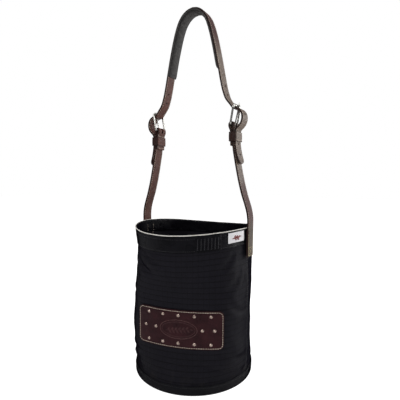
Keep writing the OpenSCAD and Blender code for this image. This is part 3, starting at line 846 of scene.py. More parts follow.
profile = [(0.15, BAND_Z0 + 0.4), (0.9, BAND_Z0), (BAND_OUT - 0.5, BAND_Z0 + 0.05),
           (BAND_OUT - 0.1, BAND_Z0 + 0.6)]
profile += [(BAND_OUT, z) for z in np.arange(BAND_Z0 + 1.6, TURN_Z - 0.5, 1.7)]
profile += arc(TURN_O, TURN_Z, TURN_R, range(0, 181, 12))
profile += [(BAND_IN, z) for z in np.arange(TURN_Z - 1.7, RIM_Z - 30.5, -1.8)]
profile += [(BAND_IN + 0.1, BAND_IN_Z0 + 0.2), (BAND_IN + 0.7, BAND_IN_Z0),
            (-WALL_T - 0.2, BAND_IN_Z0 + 0.2)]
profile += [(-WALL_T - 0.15, z) for z in np.arange(RIM_Z - 28, TURN_Z, 4)]
profile += arc(TURN_O, TURN_Z, TURN_R - BAND_T, range(180, -1, -20))
profile += [(0.15, z) for z in np.arange(TURN_Z - 3, BAND_Z0 + 2, -4)]


def rim_shape(az, offset, z):
    """Waves, stitch grooves and lapped ends; quiet under the tabs and the label."""
    quiet = ease(6.5, 9, from_side(az)) * (1 - ease(58, 60, az) * (1 - ease(82, 84, az)))
    wave = 0.22 * ring_noise(az, 34, z / 22, 21) + 0.13 * ring_noise(az, 90, z / 12, 22)
    groove = -0.35 * bell(z - SEW_LOW, 0.9) - 0.3 * bell(z - SEW_TOP, 0.9)
    lap = 0.55 * ease(31.2, 31.9, az) * (1 - ease(53.4, 54.1, az)) * (z < TURN_Z + 1)
    offset = offset + np.where(offset > 0.5, wave * quiet - 0.12 + groove + lap, 0)
    inner = 0.35 * ring_noise(az, 30, z / 20, 24) - 0.15 + 0.3 * bell(z - SEW_IN, 0.9)
    offset = offset + np.where(offset < -WALL_T - 0.8, inner, 0)
    low_edge = (z < BAND_Z0 + 3) & (offset > 0)
    z = z + np.where(low_edge, 0.55 * ring_noise(az, 26, 0.5, 23) * quiet, 0)
    low_edge = (z < RIM_Z - 27) & (offset < -WALL_T)
    z = z + np.where(low_edge, 0.7 * ring_noise(az, 24, 1.5, 25), 0)
    return offset, z


around("rim_webbing", np.array(profile), 540, WEBBING, "webbing", "rim_binding", rim_shape)

# piping cord on the outer shoulder of the turned webbing
piping_at = arc(TURN_O, TURN_Z, TURN_R + 1.05, [40])[0]
around("rim_cord", np.array(arc(*piping_at, 1.0, range(0, 360, 30))), 720, PIPING, "piping",
       "rim_piping", lambda az, offset, z: (offset + 0.12 * ring_noise(az, 60, 0.3, 31),
                                            z + 0.22 * ring_noise(az, 44, 0.7, 32)))


def ring_rows(az, offset, z, inward=False):
    along = bag_pt(az + 0.3, offset, z) - bag_pt(az - 0.3, offset, z)
    return bag_pt(az, offset, z), along, outward(az) * (-1 if inward else 1)


def near_tab(az):
    return from_side(az) < 6.8


def rim_stitches(name, z, offset, skip=None, inward=False):
    n = int(2 * pi * R / 4.4)
    az = np.arange(n) * 360.0 / n
    if skip is not None:
        az = az[~skip(az)]
    stitches(name, ring_rows(az, offset, z, inward), (3.1, 0.75, 0.6), BLACK, slot="webbing")


rim_stitches("rim_stitch_low", SEW_LOW, BAND_OUT - 0.28, near_tab)
rim_stitches("rim_stitch_top", SEW_TOP, BAND_OUT - 0.25,
             lambda az: near_tab(az) | ((az > 59.5) & (az < 82)))
rim_stitches("rim_stitch_inside", SEW_IN, BAND_IN + 0.3, inward=True)

# bar tacks over the lapped ends of the webbing
rows = []
for k in range(7):
    z = np.arange(BAND_Z0 + 4.5, RIM_Z - 9.5, 1.05)
    az = 33.35 + k * 3.0 + 0.06 * np.where(np.arange(len(z)) % 2, 1, -1) + (z - z[0]) * 0.012
    rows.append((bag_pt(az, BAND_OUT + 0.52, z),) + ring_rows(az, BAND_OUT, z)[1:])
stitches("lap_bartacks", join_rows(rows), (2.3, 0.9, 0.6), BARTACK, "band_lap_stitching",
         slot="webbing", tilt=0.18)

# ---------------------------------------------------------------- base binding
BASE_OUT = 2.25
BASE_SEW_Z = BASE_H - 4.2
profile = [(0.15, 0.3), (0.15, BASE_H - 0.8), (0.5, BASE_H - 0.1), (1.1, BASE_H),
           (1.75, BASE_H - 0.3), (2.1, BASE_H - 1.1)]
profile += [(BASE_OUT, z) for z in np.arange(BASE_H - 2.3, 2.2, -1.2)]
profile += [(2.2, 1.2), (1.9, 0.4), (1.2, 0.05), (0.6, 0.0)]


def base_wave(az, z):
    return 0.75 * ring_noise(az, 40, z / 9, 41) + 0.45 * ring_noise(az, 96, z / 7, 42, z / 14)


def base_shape(az, offset, z):
    groove = -0.5 * bell(z - BASE_SEW_Z, 1.0)
    out = (base_wave(az, z) * 0.9 + 0.25 + groove) * ease(0.5, 7, z)
    offset = offset + np.where(offset > 0.4, out, 0)
    edge = 0.9 * ring_noise(az, 30, 0.2, 43) + 0.4 * ring_noise(az, 80, 0.9, 44)
    return offset, z + np.where(z > BASE_H - 6, edge, 0)


around("base_trim", np.array(profile), 540, BASE_CLOTH, "webbing", "base_binding", base_shape)
n = int(2 * pi * (R + 2) / 4.4)
az = np.arange(n) * 360.0 / n
z = BASE_SEW_Z + 0.9 * ring_noise(az, 30, 0.2, 43) * 0.6
along = np.stack([np.cos(np.radians(az)), np.sin(np.radians(az)), 0 * az], -1)
stitches("base_stitch", (bag_pt(az, BASE_OUT + base_wave(az, z) * 0.9 - 0.2, z), along,
                         outward(az)), (3.2, 0.8, 0.6), BLACK, slot="webbing")

# ---------------------------------------------------------------- fabric base
RINGS, SPOKES = 46, 180
DISC_TOP, DISC_LOW = 1.75, 0.45
radii = np.linspace(0, 1, RINGS + 1)[1:] ** 0.8 * (R - 0.3)
angles = np.arange(SPOKES) * 2 * pi / SPOKES
x = radii[:, None] * np.cos(angles)[None]
y = radii[:, None] * np.sin(angles)[None]
ripple = 0.16 * vnoise(x / 26, y / 26, 51) + 0.10 * vnoise(x / 9, y / 9, 52)
ripple = ripple * (1 - ease(R - 10, R - 1, radii)[:, None])
verts = np.concatenate([np.stack([x, y, z + ripple], -1).reshape(-1, 3)
                        for z in (DISC_TOP, DISC_LOW)]
                       + [[[0, 0, DISC_TOP], [0, 0, DISC_LOW]]])
n = RINGS * SPOKES
quads = tube_faces(RINGS, SPOKES)
j = np.arange(SPOKES)
j2 = (j + 1) % SPOKES
last = n - SPOKES
ob = make("base_fabric", verts, [
    quads, (quads + n)[:, ::-1],
    np.stack([last + j, n + last + j, n + last + j2, last + j2], 1),
    np.stack([np.full(SPOKES, 2 * n), j, j2], 1),
    np.stack([np.full(SPOKES, 2 * n + 1), n + j2, n + j], 1)], verts[:, :2] * 0.001, sharp=50)
fit(ob, FABRIC, "bag_fabric", "base_disc")

# ---------------------------------------------------------------- side seams
TAPE_AZ = 2.6                         # half width of the inner tape, degrees
for side, seam_az in (("left", -90), ("right", 90)):
    az, z = np.meshgrid(np.linspace(seam_az - TAPE_AZ, seam_az + TAPE_AZ, 13),
                        np.arange(8, 300.1, 2.0), indexing="ij")
    wave = 0.85 * wrinkle(az, z)
    roll = 0.18 * np.cos(np.radians((az - seam_az) / TAPE_AZ * 180 * 2))
    face = -WALL_T - 1.15 + wave - roll * 0.6 + 0.1 * vnoise(az, z / 9, 61)
    ob = two_sided("seam_tape_" + side, bag_pt(az, -WALL_T - 0.12 + wave, z),
                   bag_pt(az, face, z),
                   np.stack([z * 0.001, np.radians(az) * R * 0.001], -1), sharp=50)
    fit(ob, FACING, "webbing", "side_seam_" + side)
    # two rows of thread on the front panel's lapped edge
    rows = []
    for inset in (2.0, 6.0):
        z = np.arange(24, 300, 4.2)
        az = seam_az + (1 if seam_az < 0 else -1) * inset / MM_DEG + 0 * z
        rows.append(bag_pt(az, wall_offset(az, z, True) + 0.1, z))
    pos = np.concatenate(rows)
    pos = pos[pos[:, 2] < TAB_Z0 - 1]
    stitches("seam_stitch_" + side, (pos, np.tile([0, 0, 1.0], (len(pos), 1)), pos * [1, 1, 0]),
             (3.0, 0.7, 0.5), BLACK, slot="bag_fabric")

# ---------------------------------------------------------------- leather patch
HALF_L, HALF_H, CORNER = PATCH_L / 2, PATCH_H / 2, 12.0
SEW_INSET = 3.0
OVAL_A, OVAL_B = 41.0, 20.0           # half axes of the pressed oval


def patch_xyz(s, v, offset):
    """s along the patch curve, v up, offset outwards from the flattened wall."""
    s, v, offset = np.broadcast_arrays(*(np.asarray(a, float) for a in (s, v, offset)))
    angle = s / (PATCH_R + PATCH_TOP / 2)
    x = (PATCH_R + offset) * np.sin(angle)
    y = PATCH_BACK - (PATCH_R + offset) * np.cos(angle)
    return np.stack([x * PATCH_COS - y * PATCH_SIN, x * PATCH_SIN + y * PATCH_COS,
                     PATCH_Z + v], -1)


def patch_out(s, v):
    return patch_xyz(s, v, 5.0) - patch_xyz(s, v, 0.0)


def edge_distance(s, v):
    qx, qy = np.abs(s) - (HALF_L - CORNER), np.abs(v) - (HALF_H - CORNER)
    return CORNER - (np.hypot(np.maximum(qx, 0), np.maximum(qy, 0))
                     + np.minimum(np.maximum(qx, qy), 0))


def leaf(x, y, cx, cy, angle, length, width):
    c, s = math.cos(angle), math.sin(angle)
    a, b = (x - cx) * c + (y - cy) * s, -(x - cx) * s + (y - cy) * c
    half_w = width * np.sin(pi * np.clip(a / length, 0, 1) ** 0.8)
    blade = np.clip(1.15 - (np.abs(b) / np.maximum(half_w, 0.05)) ** 2, 0, 1)
    blade = blade * (a > 0) * (a < length)
    vein = bell(b, 0.35) * (a > 0.6) * (a < length * 0.92)
    return blade - 0.55 * vein * (blade > 0.2)


def relief(s, v):
    """Pressed oval with a plain sprig in it."""
    e = np.sqrt((s / OVAL_A) ** 2 + (v / OVAL_B) ** 2)
    slope = np.hypot(s / OVAL_A ** 2, v / OVAL_B ** 2) / np.maximum(e, 0.05)
    d = (e - 1) / np.maximum(slope, 0.01)     # distance from the oval in mm
    h = 0.62 * bell(d, 0.85) - 0.45 * bell(d + 1.9, 0.9) - 0.30 * bell(d - 1.8, 0.9)
    h = h + 0.34 * bell(d + 4.2, 0.6) - 0.22 * (1 - ease(-7.5, -5.5, d))
    stem = bell(v + 1.2 - 2.2 * np.sin(s / 17.0), 0.6) * (np.abs(s) < 27)
    leaves = 0
    for cx in (-23, -15, -7, 1, 9, 17):
        cy = -1.2 + 2.2 * math.sin(cx / 17.0)
        leaves = np.maximum(leaves, leaf(s, v, cx, cy, 0.95, 9.5, 2.3))
        leaves = np.maximum(leaves, leaf(s, v, cx + 3, cy, -0.85, 8.5, 2.1))
    leaves = np.maximum(leaves, leaf(s, v, 25, 1.1, 0.12, 8, 2.0))
    return h + 0.55 * np.maximum(leaves, 0.8 * stem) * (d < -6)


# studs on the patch: (s, v)
STUDS = [(s, v) for s in (-70, -35, 0, 35, 70) for v in (30, -30)]
STUDS += [(s, 0) for s in (-78, -52, 52, 78)]

# grid closer towards the edges
u = np.linspace(-1, 1, 321)
stations = HALF_L * np.sin(u * pi / 2 * 0.999) * 0.35 + HALF_L * u * 0.65
stations[0], stations[-1] = -HALF_L, HALF_L
v = np.linspace(-1, 1, 135)
v = 0.72 * v + 0.28 * np.sin(v * pi / 2)
s = np.repeat(stations[:, None], len(v), 1)
over = np.clip(np.abs(s) - (HALF_L - CORNER), 0, CORNER)
v = (HALF_H - CORNER + np.sqrt(np.maximum(CORNER * CORNER - over * over, 0))) * v[None]

edge = np.clip(edge_distance(s, v), 0, 99)
ROUND = 1.15
rounding = np.where(edge < ROUND, np.sqrt(np.maximum(ROUND ** 2 - (ROUND - edge) ** 2, 0)) - ROUND,
                    0)
groove = -0.5 * bell(edge - SEW_INSET, 0.75)
dimple = 0 * s
for s0, v0 in STUDS:
    dimple = dimple - 0.5 * bell(np.hypot(s - s0, v - v0), 4.6)
wave = 0.22 * vnoise(s / 26, v / 20, 71) + 0.10 * vnoise(s / 8, v / 8, 72)
inside = ease(8, 12, edge)
height = (PATCH_TOP + rounding + groove + dimple + wave * ease(0, 6, edge)
          + 1.25 * relief(s, v) * inside)
wear = np.clip(1 - edge / 2.0, 0, 1).ravel()
press = (np.clip(relief(s, v) / 0.55, 0, 1) * inside).ravel()
ob = slab("leather_patch", patch_xyz(s, v, height), patch_xyz(s, v, 0.22), s, v, sharp=55,
          attrs={"wear": np.concatenate([wear, wear]),
                 "press": np.concatenate([press, 0 * press])})
fit(ob, PATCH_LEATHER, "patch_leather", "front_patch")

# stitching round the edge, from the left end of the bottom side
l, h, r = HALF_L - SEW_INSET, HALF_H - SEW_INSET, CORNER - SEW_INSET
ARC_STEPS = 24
outline = rounded_rectangle(-l, l, -h, h, r, first=2, arc_steps=ARC_STEPS,
                            line_steps=(int(2 * (l - r) / 0.5), int(2 * (h - r) / 0.5)))
outline = np.roll(outline, -ARC_STEPS, 0)
outline = np.vstack([outline, outline[:1]])
at = lengths(outline)


def outline_at(q):
    return np.stack([np.interp(q % at[-1], at, outline[:, i]) for i in (0, 1)])


n = int(at[-1] / 5.0)
q = np.arange(n) * at[-1] / n
sq, vq = outline_at(q)
ds, dv = outline_at(q + 0.4) - outline_at(q - 0.4)
stitches("patch_stitch", (
    patch_xyz(sq, vq, PATCH_TOP - 0.02),
    patch_xyz(sq + ds, vq + dv, PATCH_TOP) - patch_xyz(sq - ds, vq - dv, PATCH_TOP),
    patch_out(sq, vq)), (3.75, 1.15, 0.95), CREAM, "patch_stitching", sink=0.35)

# domed studs with a pressed rim; profile of radius, height above the leather
STUD_PROFILE = [
    (0.0, -5.2), (1.0, -5.2), (1.0, -0.6), (3.25, -0.45), (3.55, -0.15), (3.6, 0.1),
    (3.45, 0.38), (3.2, 0.46), (2.95, 0.5), (2.8, 0.78), (2.45, 1.28), (1.9, 1.68),
    (1.2, 1.93), (0.55, 2.02), (0.0, 2.05)]
HOLE_SIDES = STUD_SIDES = 28
verts, faces, first = [], [], 0
j = np.arange(STUD_SIDES)
j2 = (j + 1) % STUD_SIDES
cos_j, sin_j = (f(j * 2 * pi / STUD_SIDES)[:, None] for f in (np.cos, np.sin))
up = np.array([0, 0, 1.0])
for s0, v0 in STUDS:
    centre = patch_xyz(s0, v0, PATCH_TOP)
    normal = unit(patch_out(s0, v0))
    right = np.cross(up, normal)
    scale = 1.0 + 0.02 * math.sin(s0 * 7 + v0)
    tilt = 0.05 * math.sin(s0 * 3.1 + v0 * 1.7)
    for radius, z in STUD_PROFILE[1:-1]:
        verts.append(centre + (right * cos_j + up * sin_j) * radius * scale
                     + normal * (z + tilt * radius * cos_j * 0.5))
    verts.append([centre + normal * STUD_PROFILE[0][1], centre + normal * STUD_PROFILE[-1][1]])
    rings = len(STUD_PROFILE) - 2
    n = rings * STUD_SIDES
    top = n - STUD_SIDES
    faces.append(tube_faces(rings, STUD_SIDES)[:, [0, 3, 2, 1]] + first)
    faces.append(np.stack([j, j2, np.full(STUD_SIDES, n)], 1) + first)
    faces.append(np.stack([top + j, top + j2, np.full(STUD_SIDES, n + 1)], 1) + first)
    first += n + 2
ob = make("domed_studs", np.concatenate(verts), faces, sharp=70)
fit(ob, BRASS, "stud_metal", "patch_studs")

# ---------------------------------------------------------------- label on the rim band
LABEL_AZ0, LABEL_AZ1 = 61.0, 80.5
LABEL_Z, LABEL_HALF = RIM_Z - 16.6, 11
LABEL_O = BAND_OUT + 0.08
az, z = np.meshgrid(np.linspace(LABEL_AZ0, LABEL_AZ1, 61),
                    np.linspace(LABEL_Z - LABEL_HALF, LABEL_Z + LABEL_HALF, 33), indexing="ij")
edge = np.minimum(np.minimum((az - LABEL_AZ0) * MM_DEG, (LABEL_AZ1 - az) * MM_DEG),
                  np.minimum(z - LABEL_Z + LABEL_HALF, LABEL_Z + LABEL_HALF - z))
bulge = 0.75 + 0.10 * vnoise(az, z / 6, 81)
bulge = bulge + 0.22 * bell(edge - 0.9, 0.7) - 0.2 * bell(edge - 2.0, 0.5)
bulge = np.where(edge < 0.05, 0.35, bulge)
ob = slab("woven_label", bag_pt(az, LABEL_O + bulge, z), bag_pt(az, LABEL_O, z),
          az * MM_DEG, z, sharp=60)
fit(ob, LABEL, "label_cloth", "blank_label")


def on_label(s, v):
    return bag_pt((LABEL_AZ0 + LABEL_AZ1) / 2 + s / MM_DEG, LABEL_O + 0.95, LABEL_Z + v)


# embroidered leaves and stem: x, y, angle, length, width
SPRIG = [(-9, -2, 0.9, 8, 2.6), (-4, -2.4, 0.75, 8.5, 2.6), (1.5, -2.6, 0.55, 9, 2.6),
         (-6.5, -2.6, -0.55, 6, 2.2), (0, -3.2, -0.35, 7, 2.2), (-13, -2, 0.1, 26, 0.8)]
SATIN_PITCH = 0.55
pos, along = [], []
for cx, cy, angle, length, width in SPRIG:
    for i in range(int(length / SATIN_PITCH)):
        t = (i + 0.5) * SATIN_PITCH / length
        half_w = width * math.sin(pi * t ** 0.8) / 2
        for sign in (1, -1):
            x = cx + math.cos(angle) * t * length - math.sin(angle) * sign * half_w
            y = cy + math.sin(angle) * t * length + math.cos(angle) * sign * half_w
            dx, dy = math.cos(angle + sign * 0.9), math.sin(angle + sign * 0.9)
            pos.append(on_label(x, y))
            along.append(on_label(x + dx, y + dy) - on_label(x - dx, y - dy))
pos = np.array(pos)
stitches("label_sprig", (pos, along, pos * [1, 1, 0]), (1.9, 0.62, 0.45), RED, sink=0.1)
z = np.arange(LABEL_Z - 9.4, LABEL_Z + 9.5, 2.3)
pos = np.concatenate([bag_pt(az + 0 * z, BAND_OUT + 0.72, z)
                      for az in (LABEL_AZ0 + 0.85, LABEL_AZ1 - 0.85)])
stitches("label_stitch", (pos, np.tile([0, 0, 1.0], (len(pos), 1)), pos * [1, 1, 0]),
         (1.7, 0.6, 0.5), PIPING, "label_stitching", sink=0.15)

# ---------------------------------------------------------------- tab stitching seen inside
DEG_MM_IN = 180 / pi / (R - 3)        # degrees per millimetre on the inside
for side, tab_az in (("left", -90.0), ("right", 90.0)):
    spots = []                        # azimuth, z, and the step along the stitch in both
    for y in (-STITCH_Y, STITCH_Y):
        for z in np.concatenate([np.arange(287, 312.5, 4.4), np.arange(316.5, 333.5, 4.4)]):
            spots.append((tab_az + y * DEG_MM_IN, z, 0, 0.4))
    for z in (285.4, 303.2):
        for az in tab_az + np.arange(-8.4, 8.5, 4.2) * DEG_MM_IN:
            spots.append((az, z, 0.2, 0))
    pos, along, normal = [], [], []
    for az, z, d_az, dz in spots:
        if z > RIM_Z - 30.5:
            offset = BAND_IN - 0.02
        else:
            offset = -WALL_T - (1.45 if abs(az - tab_az) < TAPE_AZ else 0.03)
        pos.append(bag_pt(az, offset, z))
        along.append(bag_pt(az + d_az, offset, z + dz) - pos[-1])
        normal.append(-outward(az))
    stitches("tab_stitch_inside_" + side, (pos, along, normal), (3.4, 1.1, 0.85), CREAM,
             sink=0.3)


# ---------------------------------------------------------------- strap lines, in x and z
def tangent(p, i):
    if i == 0:
        return unit(p[1] - p[0])
    if i == len(p) - 1:
        return unit(p[i] - p[i - 1])
    a, b = p[i] - p[i - 1], p[i + 1] - p[i]
    da, db = np.linalg.norm(a), np.linalg.norm(b)
    return (a / da * db + b / db * da) / (da + db)


def curve(points, step=2.2):
    """Smooth line through the points, stepped evenly between each two."""
    p = [np.array(q, float) for q in points]
    out = []
    for i in range(len(p) - 1):
        d = np.linalg.norm(p[i + 1] - p[i])
        m0, m1 = d * tangent(p, i), d * tangent(p, i + 1)
        k = max(1, int(round(d / step)))
        for j in range(k):
            t = j / k
            out.append((2 * t ** 3 - 3 * t * t + 1) * p[i] + (t ** 3 - 2 * t * t + t) * m0
                       + (3 * t * t - 2 * t ** 3) * p[i + 1] + (t ** 3 - t * t) * m1)
    return np.array(out + [p[-1]])


def frames(path):
    """Unit tangents, left-hand normals and lengths along a line."""
    t = np.empty_like(path)
    t[1:-1] = path[2:] - path[:-2]
    t[0] = path[1] - path[0]
    t[-1] = path[-1] - path[-2]
    t = unit(t)
    return t, np.stack([-t[:, 1], t[:, 0]], 1), lengths(path)


def from_xz(points, y):
    return np.stack(np.broadcast_arrays(points[..., 0], y, points[..., 1]), -1)


def at_length(path, q):
    """Points, tangents and normals at lengths q along a line."""
    t, normal, at = frames(path)
    return [np.stack([np.interp(q, at, a[:, 0]), np.interp(q, at, a[:, 1])], -1)
            for a in (path, t, normal)]


def first_length(path, test):
    """Length at the first point that passes the test of x and z."""
    return lengths(path)[[bool(test(x, z)) for x, z in path].index(True)]


def row(path, a, b, y, offset, pitch=5.2, side=1):
    """Stitches along the line between lengths a and b."""
    p, t, n = at_length(path, np.arange(a + pitch / 2, b, pitch))
    sign = 1 if offset > 0 else -1
    return [mirrored(v, side)
            for v in (from_xz(p + n * offset, y), from_xz(t, 0), from_xz(n, 0) * sign)]


def cross_row(path, q, offset, half_width, pitch, side=1):
    """Stitches across the strap at length q."""
    y = np.arange(-half_width + pitch / 2, half_width, pitch)
    p, _, n = at_length(path, np.array([q]))
    sign = 1 if offset > 0 else -1
    return [mirrored(v, side) for v in (
        from_xz(p + n * offset, y), np.tile([0, 1.0, 0], (len(y), 1)),
        from_xz(n, 0 * y) * sign)]


def sweep(name, path, section, shape, wear, width=1.0, thick=1.0, sharp=50,
          wear_name="wear"):
    """Closed section of (y, offset) carried along a line; width and thick scale it."""
    n, m = len(path), len(section)
    _, normal, at = frames(path)
    closed = np.vstack([section, section[:1]])
    ones = np.ones((n, 1))
    y = closed[None, :, 0] * (ones * np.reshape(width, (-1, 1)))
    offset = closed[None, :, 1] * (ones * np.reshape(thick, (-1, 1)))
    y, offset = shape(y, offset, at[:, None])
    verts = from_xz(path[:, None] + normal[:, None] * offset[..., None], y)
    uv = np.stack(np.broadcast_arrays(at[:, None] * 0.001, lengths(closed)[None] * 0.001), -1)
    attrs = {wear_name: np.append(wear, wear[:1]), "yy": closed[:, 0], "oo": closed[:, 1]}
    attrs = {key: np.broadcast_to(a[None], (n, m + 1)).ravel() for key, a in attrs.items()}
    ends = [np.arange(m)[None, :], ((n - 1) * (m + 1) + np.arange(m))[None, ::-1]]
    return make(name, verts.reshape(-1, 3), [grid_faces(n, m + 1)] + ends, uv.reshape(-1, 2),
                attrs, weld=True, sharp=sharp)


def strap_section():
    """Section (y, offset) of two stitched plies from the outer face, and its edge wear."""
    groove, crown, radius = 0.45, 0.2, 1.0
    half_w, top = STRAP_W / 2, STRAP_T / 2 - crown
    near = (-0.9, -0.55, 0, 0.55, 0.9)
    ys = [-half_w + radius] + [-STITCH_Y + d for d in near]
    ys += list(np.linspace(-STITCH_Y + 2.4, STITCH_Y - 2.4, 11))
    ys += [STITCH_Y + d for d in near] + [half_w - radius]
    face = []
    for y in ys:
        d = abs(abs(y) - STITCH_Y)
        face.append((y, STRAP_T / 2 - crown * (abs(y) / half_w) ** 2.5
                     - groove * max(0.0, 1 - (d / 0.9) ** 2)))
    upper = arc(half_w - radius, top - radius, radius, (60, 30))
    # the line between the plies shows as a shallow notch
    edge = upper + [(half_w, (top - radius) * 0.75), (half_w - 0.05, 0.28), (half_w - 0.3, 0.0),
                    (half_w - 0.05, -0.28), (half_w, -(top - radius) * 0.75)]
    edge += [(y, -o) for y, o in upper[::-1]]
    under = [(y, -o) for y, o in face[::-1]]
    section = np.array(face + edge + under + [(-y, -o) for y, o in edge])
    return section, np.clip((np.abs(section[:, 0]) - (half_w - 1.6)) / 1.2, 0, 1)


def leather_shape(seed):
    """Slight unevenness in width and thickness."""
    def shape(y, offset, at):
        return (y * (1 + 0.006 * vnoise(at / 55, 0.5, seed)),
                offset * (1 + 0.05 * vnoise(at / 40, y / 20, seed + 1)))
    return shape


FOLD_R = 2.3 + 0.3 + STRAP_T / 2
LEG = HEEL[0] + FOLD_R                # outer leg of the fold at the buckle
BACK = LEG - STRAP_T - 0.4            # end of the lower strap, folded behind the leg
BILLET = LEG + STRAP_T + 0.35         # end of the upper strap, outside the leg
hx, hz = HEEL
lower = curve(
    [(TAB_X, TAB_Z0), (TAB_X, 300), (TAB_X, 322), (TAB_X + 0.1, 334), (STRAP_X - 0.15, 343),
     (STRAP_X, PIVOT_Z), (STRAP_X, 366), (STRAP_X - 0.7, 374), (143.6, 383), (141.3, 392),
     (138.1, 402), (134.2, 413), (129, 430), (124, 449), (117, 481), (112.2, 506), (109, 525),
     (LEG, 538), (LEG, 560), (LEG, hz - 4)] + arc(hx, hz, FOLD_R, range(0, 181, 12)) +
    [(hx - FOLD_R - 0.1, hz - 4), (BACK - 3, hz - 9), (BACK - 1.1, hz - 14),
     (BACK - 0.15, hz - 21), (BACK, 548), (BACK, 531)])
half = curve(
    [(0, 855.8), (13, 853.2), (25, 846), (35.5, 833.5), (43.5, 816.5), (50.5, 795),
     (56.5, 772), (62, 748), (67, 724), (71.5, 702), (76, 680), (82, 656), (89.5, 637),
     (97.4, 626.8)] + arc(*ROLLER, 3.5 + 0.25 + STRAP_T / 2, (218, 227.5, 237, 246.5, 256)) +
    [(117.5, 612.4), (124, 608), (128.2, 600.6), (129.2, 591.5), (126.8, 582), (121, 574.2),
     (BILLET + 2.4, 568.4), (BILLET + 0.1, 562.5), (BILLET, 551), (BILLET, 540),
     (BILLET + 1.3, 528), (BILLET + 4.3, 513), (BILLET + 7.8, 501), (BILLET + 11.2, 491)])
upper = np.vstack([half[:0:-1] * [-1, 1], half])
section, edge_wear = strap_section()
SEW_O = STRAP_T / 2 - 0.30            # stitches along the strap, from its middle
SEW_ACROSS_O = STRAP_T / 2 - 0.05
STRAP_STITCH = (3.9, 1.05, 0.8)

# ---------------------------------------------------------------- lower straps and keepers
at, z = lengths(lower), lower[:, 1]
lower_end = at[-1]
before = at < first_length(lower, lambda x, z: z > 400)
lower_thick = 1 + 0.2 * np.where(before, 1 - ease(333, 346, z), 0)
lower_thick[0] *= 0.8
lower_thick[-1] *= 0.75
lower_width = np.ones(len(at))
lower_width[[0, -1]] = 0.97
free_at = first_length(lower, lambda x, z: z > PIVOT_Z + 3)
leg_at = first_length(lower, lambda x, z: z > 536)
heel_at = first_length(lower, lambda x, z: z > hz - 6)
tab_at = first_length(lower, lambda x, z: z > 333)
behind_at = first_length(lower, lambda x, z: x < BACK - 0.8 and z < hz - 8)
back_at = first_length(lower, lambda x, z: abs(x - BACK) < 1.3 and 560 < z < hz - 12)
TAB_O = STRAP_T / 2 * 1.2 - 0.12      # stitches on the thicker tab
BOX_Q0, BOX_L = 2.6, 17.9             # sewn box on the tab: start and length
CROSS_Y = STITCH_Y - 0.6
# keeper: outline in x and y, standing 2.6 mm round at the corners
KEEPER_X0, KEEPER_X1 = BACK - STRAP_T / 2 - 2.0, BILLET + STRAP_T / 2 + 1.5
KEEPER_Y = STRAP_W / 2 + 1.6


def heel_slot(side):
    """Cutter for the opening in the fold."""
    verts = [[x, y, z] for x in (hx - 12, hx + 12) for y in (-3.2, 3.2)
             for z in (hz - 6.6, hz + 12)]
    faces = np.array([[0, 1, 3, 2], [4, 6, 7, 5], [0, 4, 5, 1], [2, 3, 7, 6], [0, 2, 6, 4],
                      [1, 5, 7, 3]])
    return make("heel_slot", mirrored(verts, side), [faces])


def lower_strap(name, side, blend):
    ob = sweep("carry_strap_lower_" + name, lower, section,
               leather_shape(103 if side > 0 else 113), edge_wear, lower_width, lower_thick)
    if side < 0:
        ob.data.transform(Matrix.Scale(-1, 4, (1, 0, 0)))
        ob.data.flip_normals()
    cut(ob, heel_slot(side))
    mark_leather(ob)
    fit(ob, LEATHER, "strap_leather", "strap_tab_" + name, "lower_strap_outer_" + name,
        "lower_strap_lining_" + name, blend=blend)
    rows = []
    for y in (-STITCH_Y, STITCH_Y):
        rows.append(row(lower, free_at - 14, heel_at, y, -SEW_O, side=side))
        rows.append(row(lower, free_at + 4, leg_at - 4, y, SEW_O, side=side))
        rows.append(row(lower, behind_at, lower_end - 3, y, -SEW_O, side=side))
    for q in (back_at, lower_end - 3.6):
        rows.append(cross_row(lower, q, -SEW_ACROSS_O, 10.2, 4.4, side))
    stitches("lower_stitch_" + name, join_rows(rows), STRAP_STITCH, STRAP_THREAD,
             "lower_strap_stitching_" + name, blend=blend, sink=0.3)


def tab_stitches(name, side):
    """Box and cross of thread on the tab."""
    rows = [row(lower, 3, tab_at - 1, y, -(TAB_O - 0.15), 4.4, side)
            for y in (-STITCH_Y, STITCH_Y)]
    rows += [cross_row(lower, q, -TAB_O, 10.6, 4.2, side) for q in (BOX_Q0, BOX_Q0 + BOX_L)]
    t = np.linspace(0.07, 0.93, 6)
    p, _, n = at_length(lower, BOX_Q0 + BOX_L * t)
    for slant in (1, -1):
        y = (t - 0.5) * 2 * CROSS_Y * slant
        rows.append([mirrored(v, side) for v in (
            from_xz(p - n * [TAB_O, 0], y),
            np.tile([0, 2 * CROSS_Y * slant, BOX_L], (6, 1)), from_xz(-n, 0))])
    stitches("tab_stitch_" + name, join_rows(rows), (3.6, 1.15, 0.9), GOLD,
             "tab_stitching_" + name, sink=0.3)


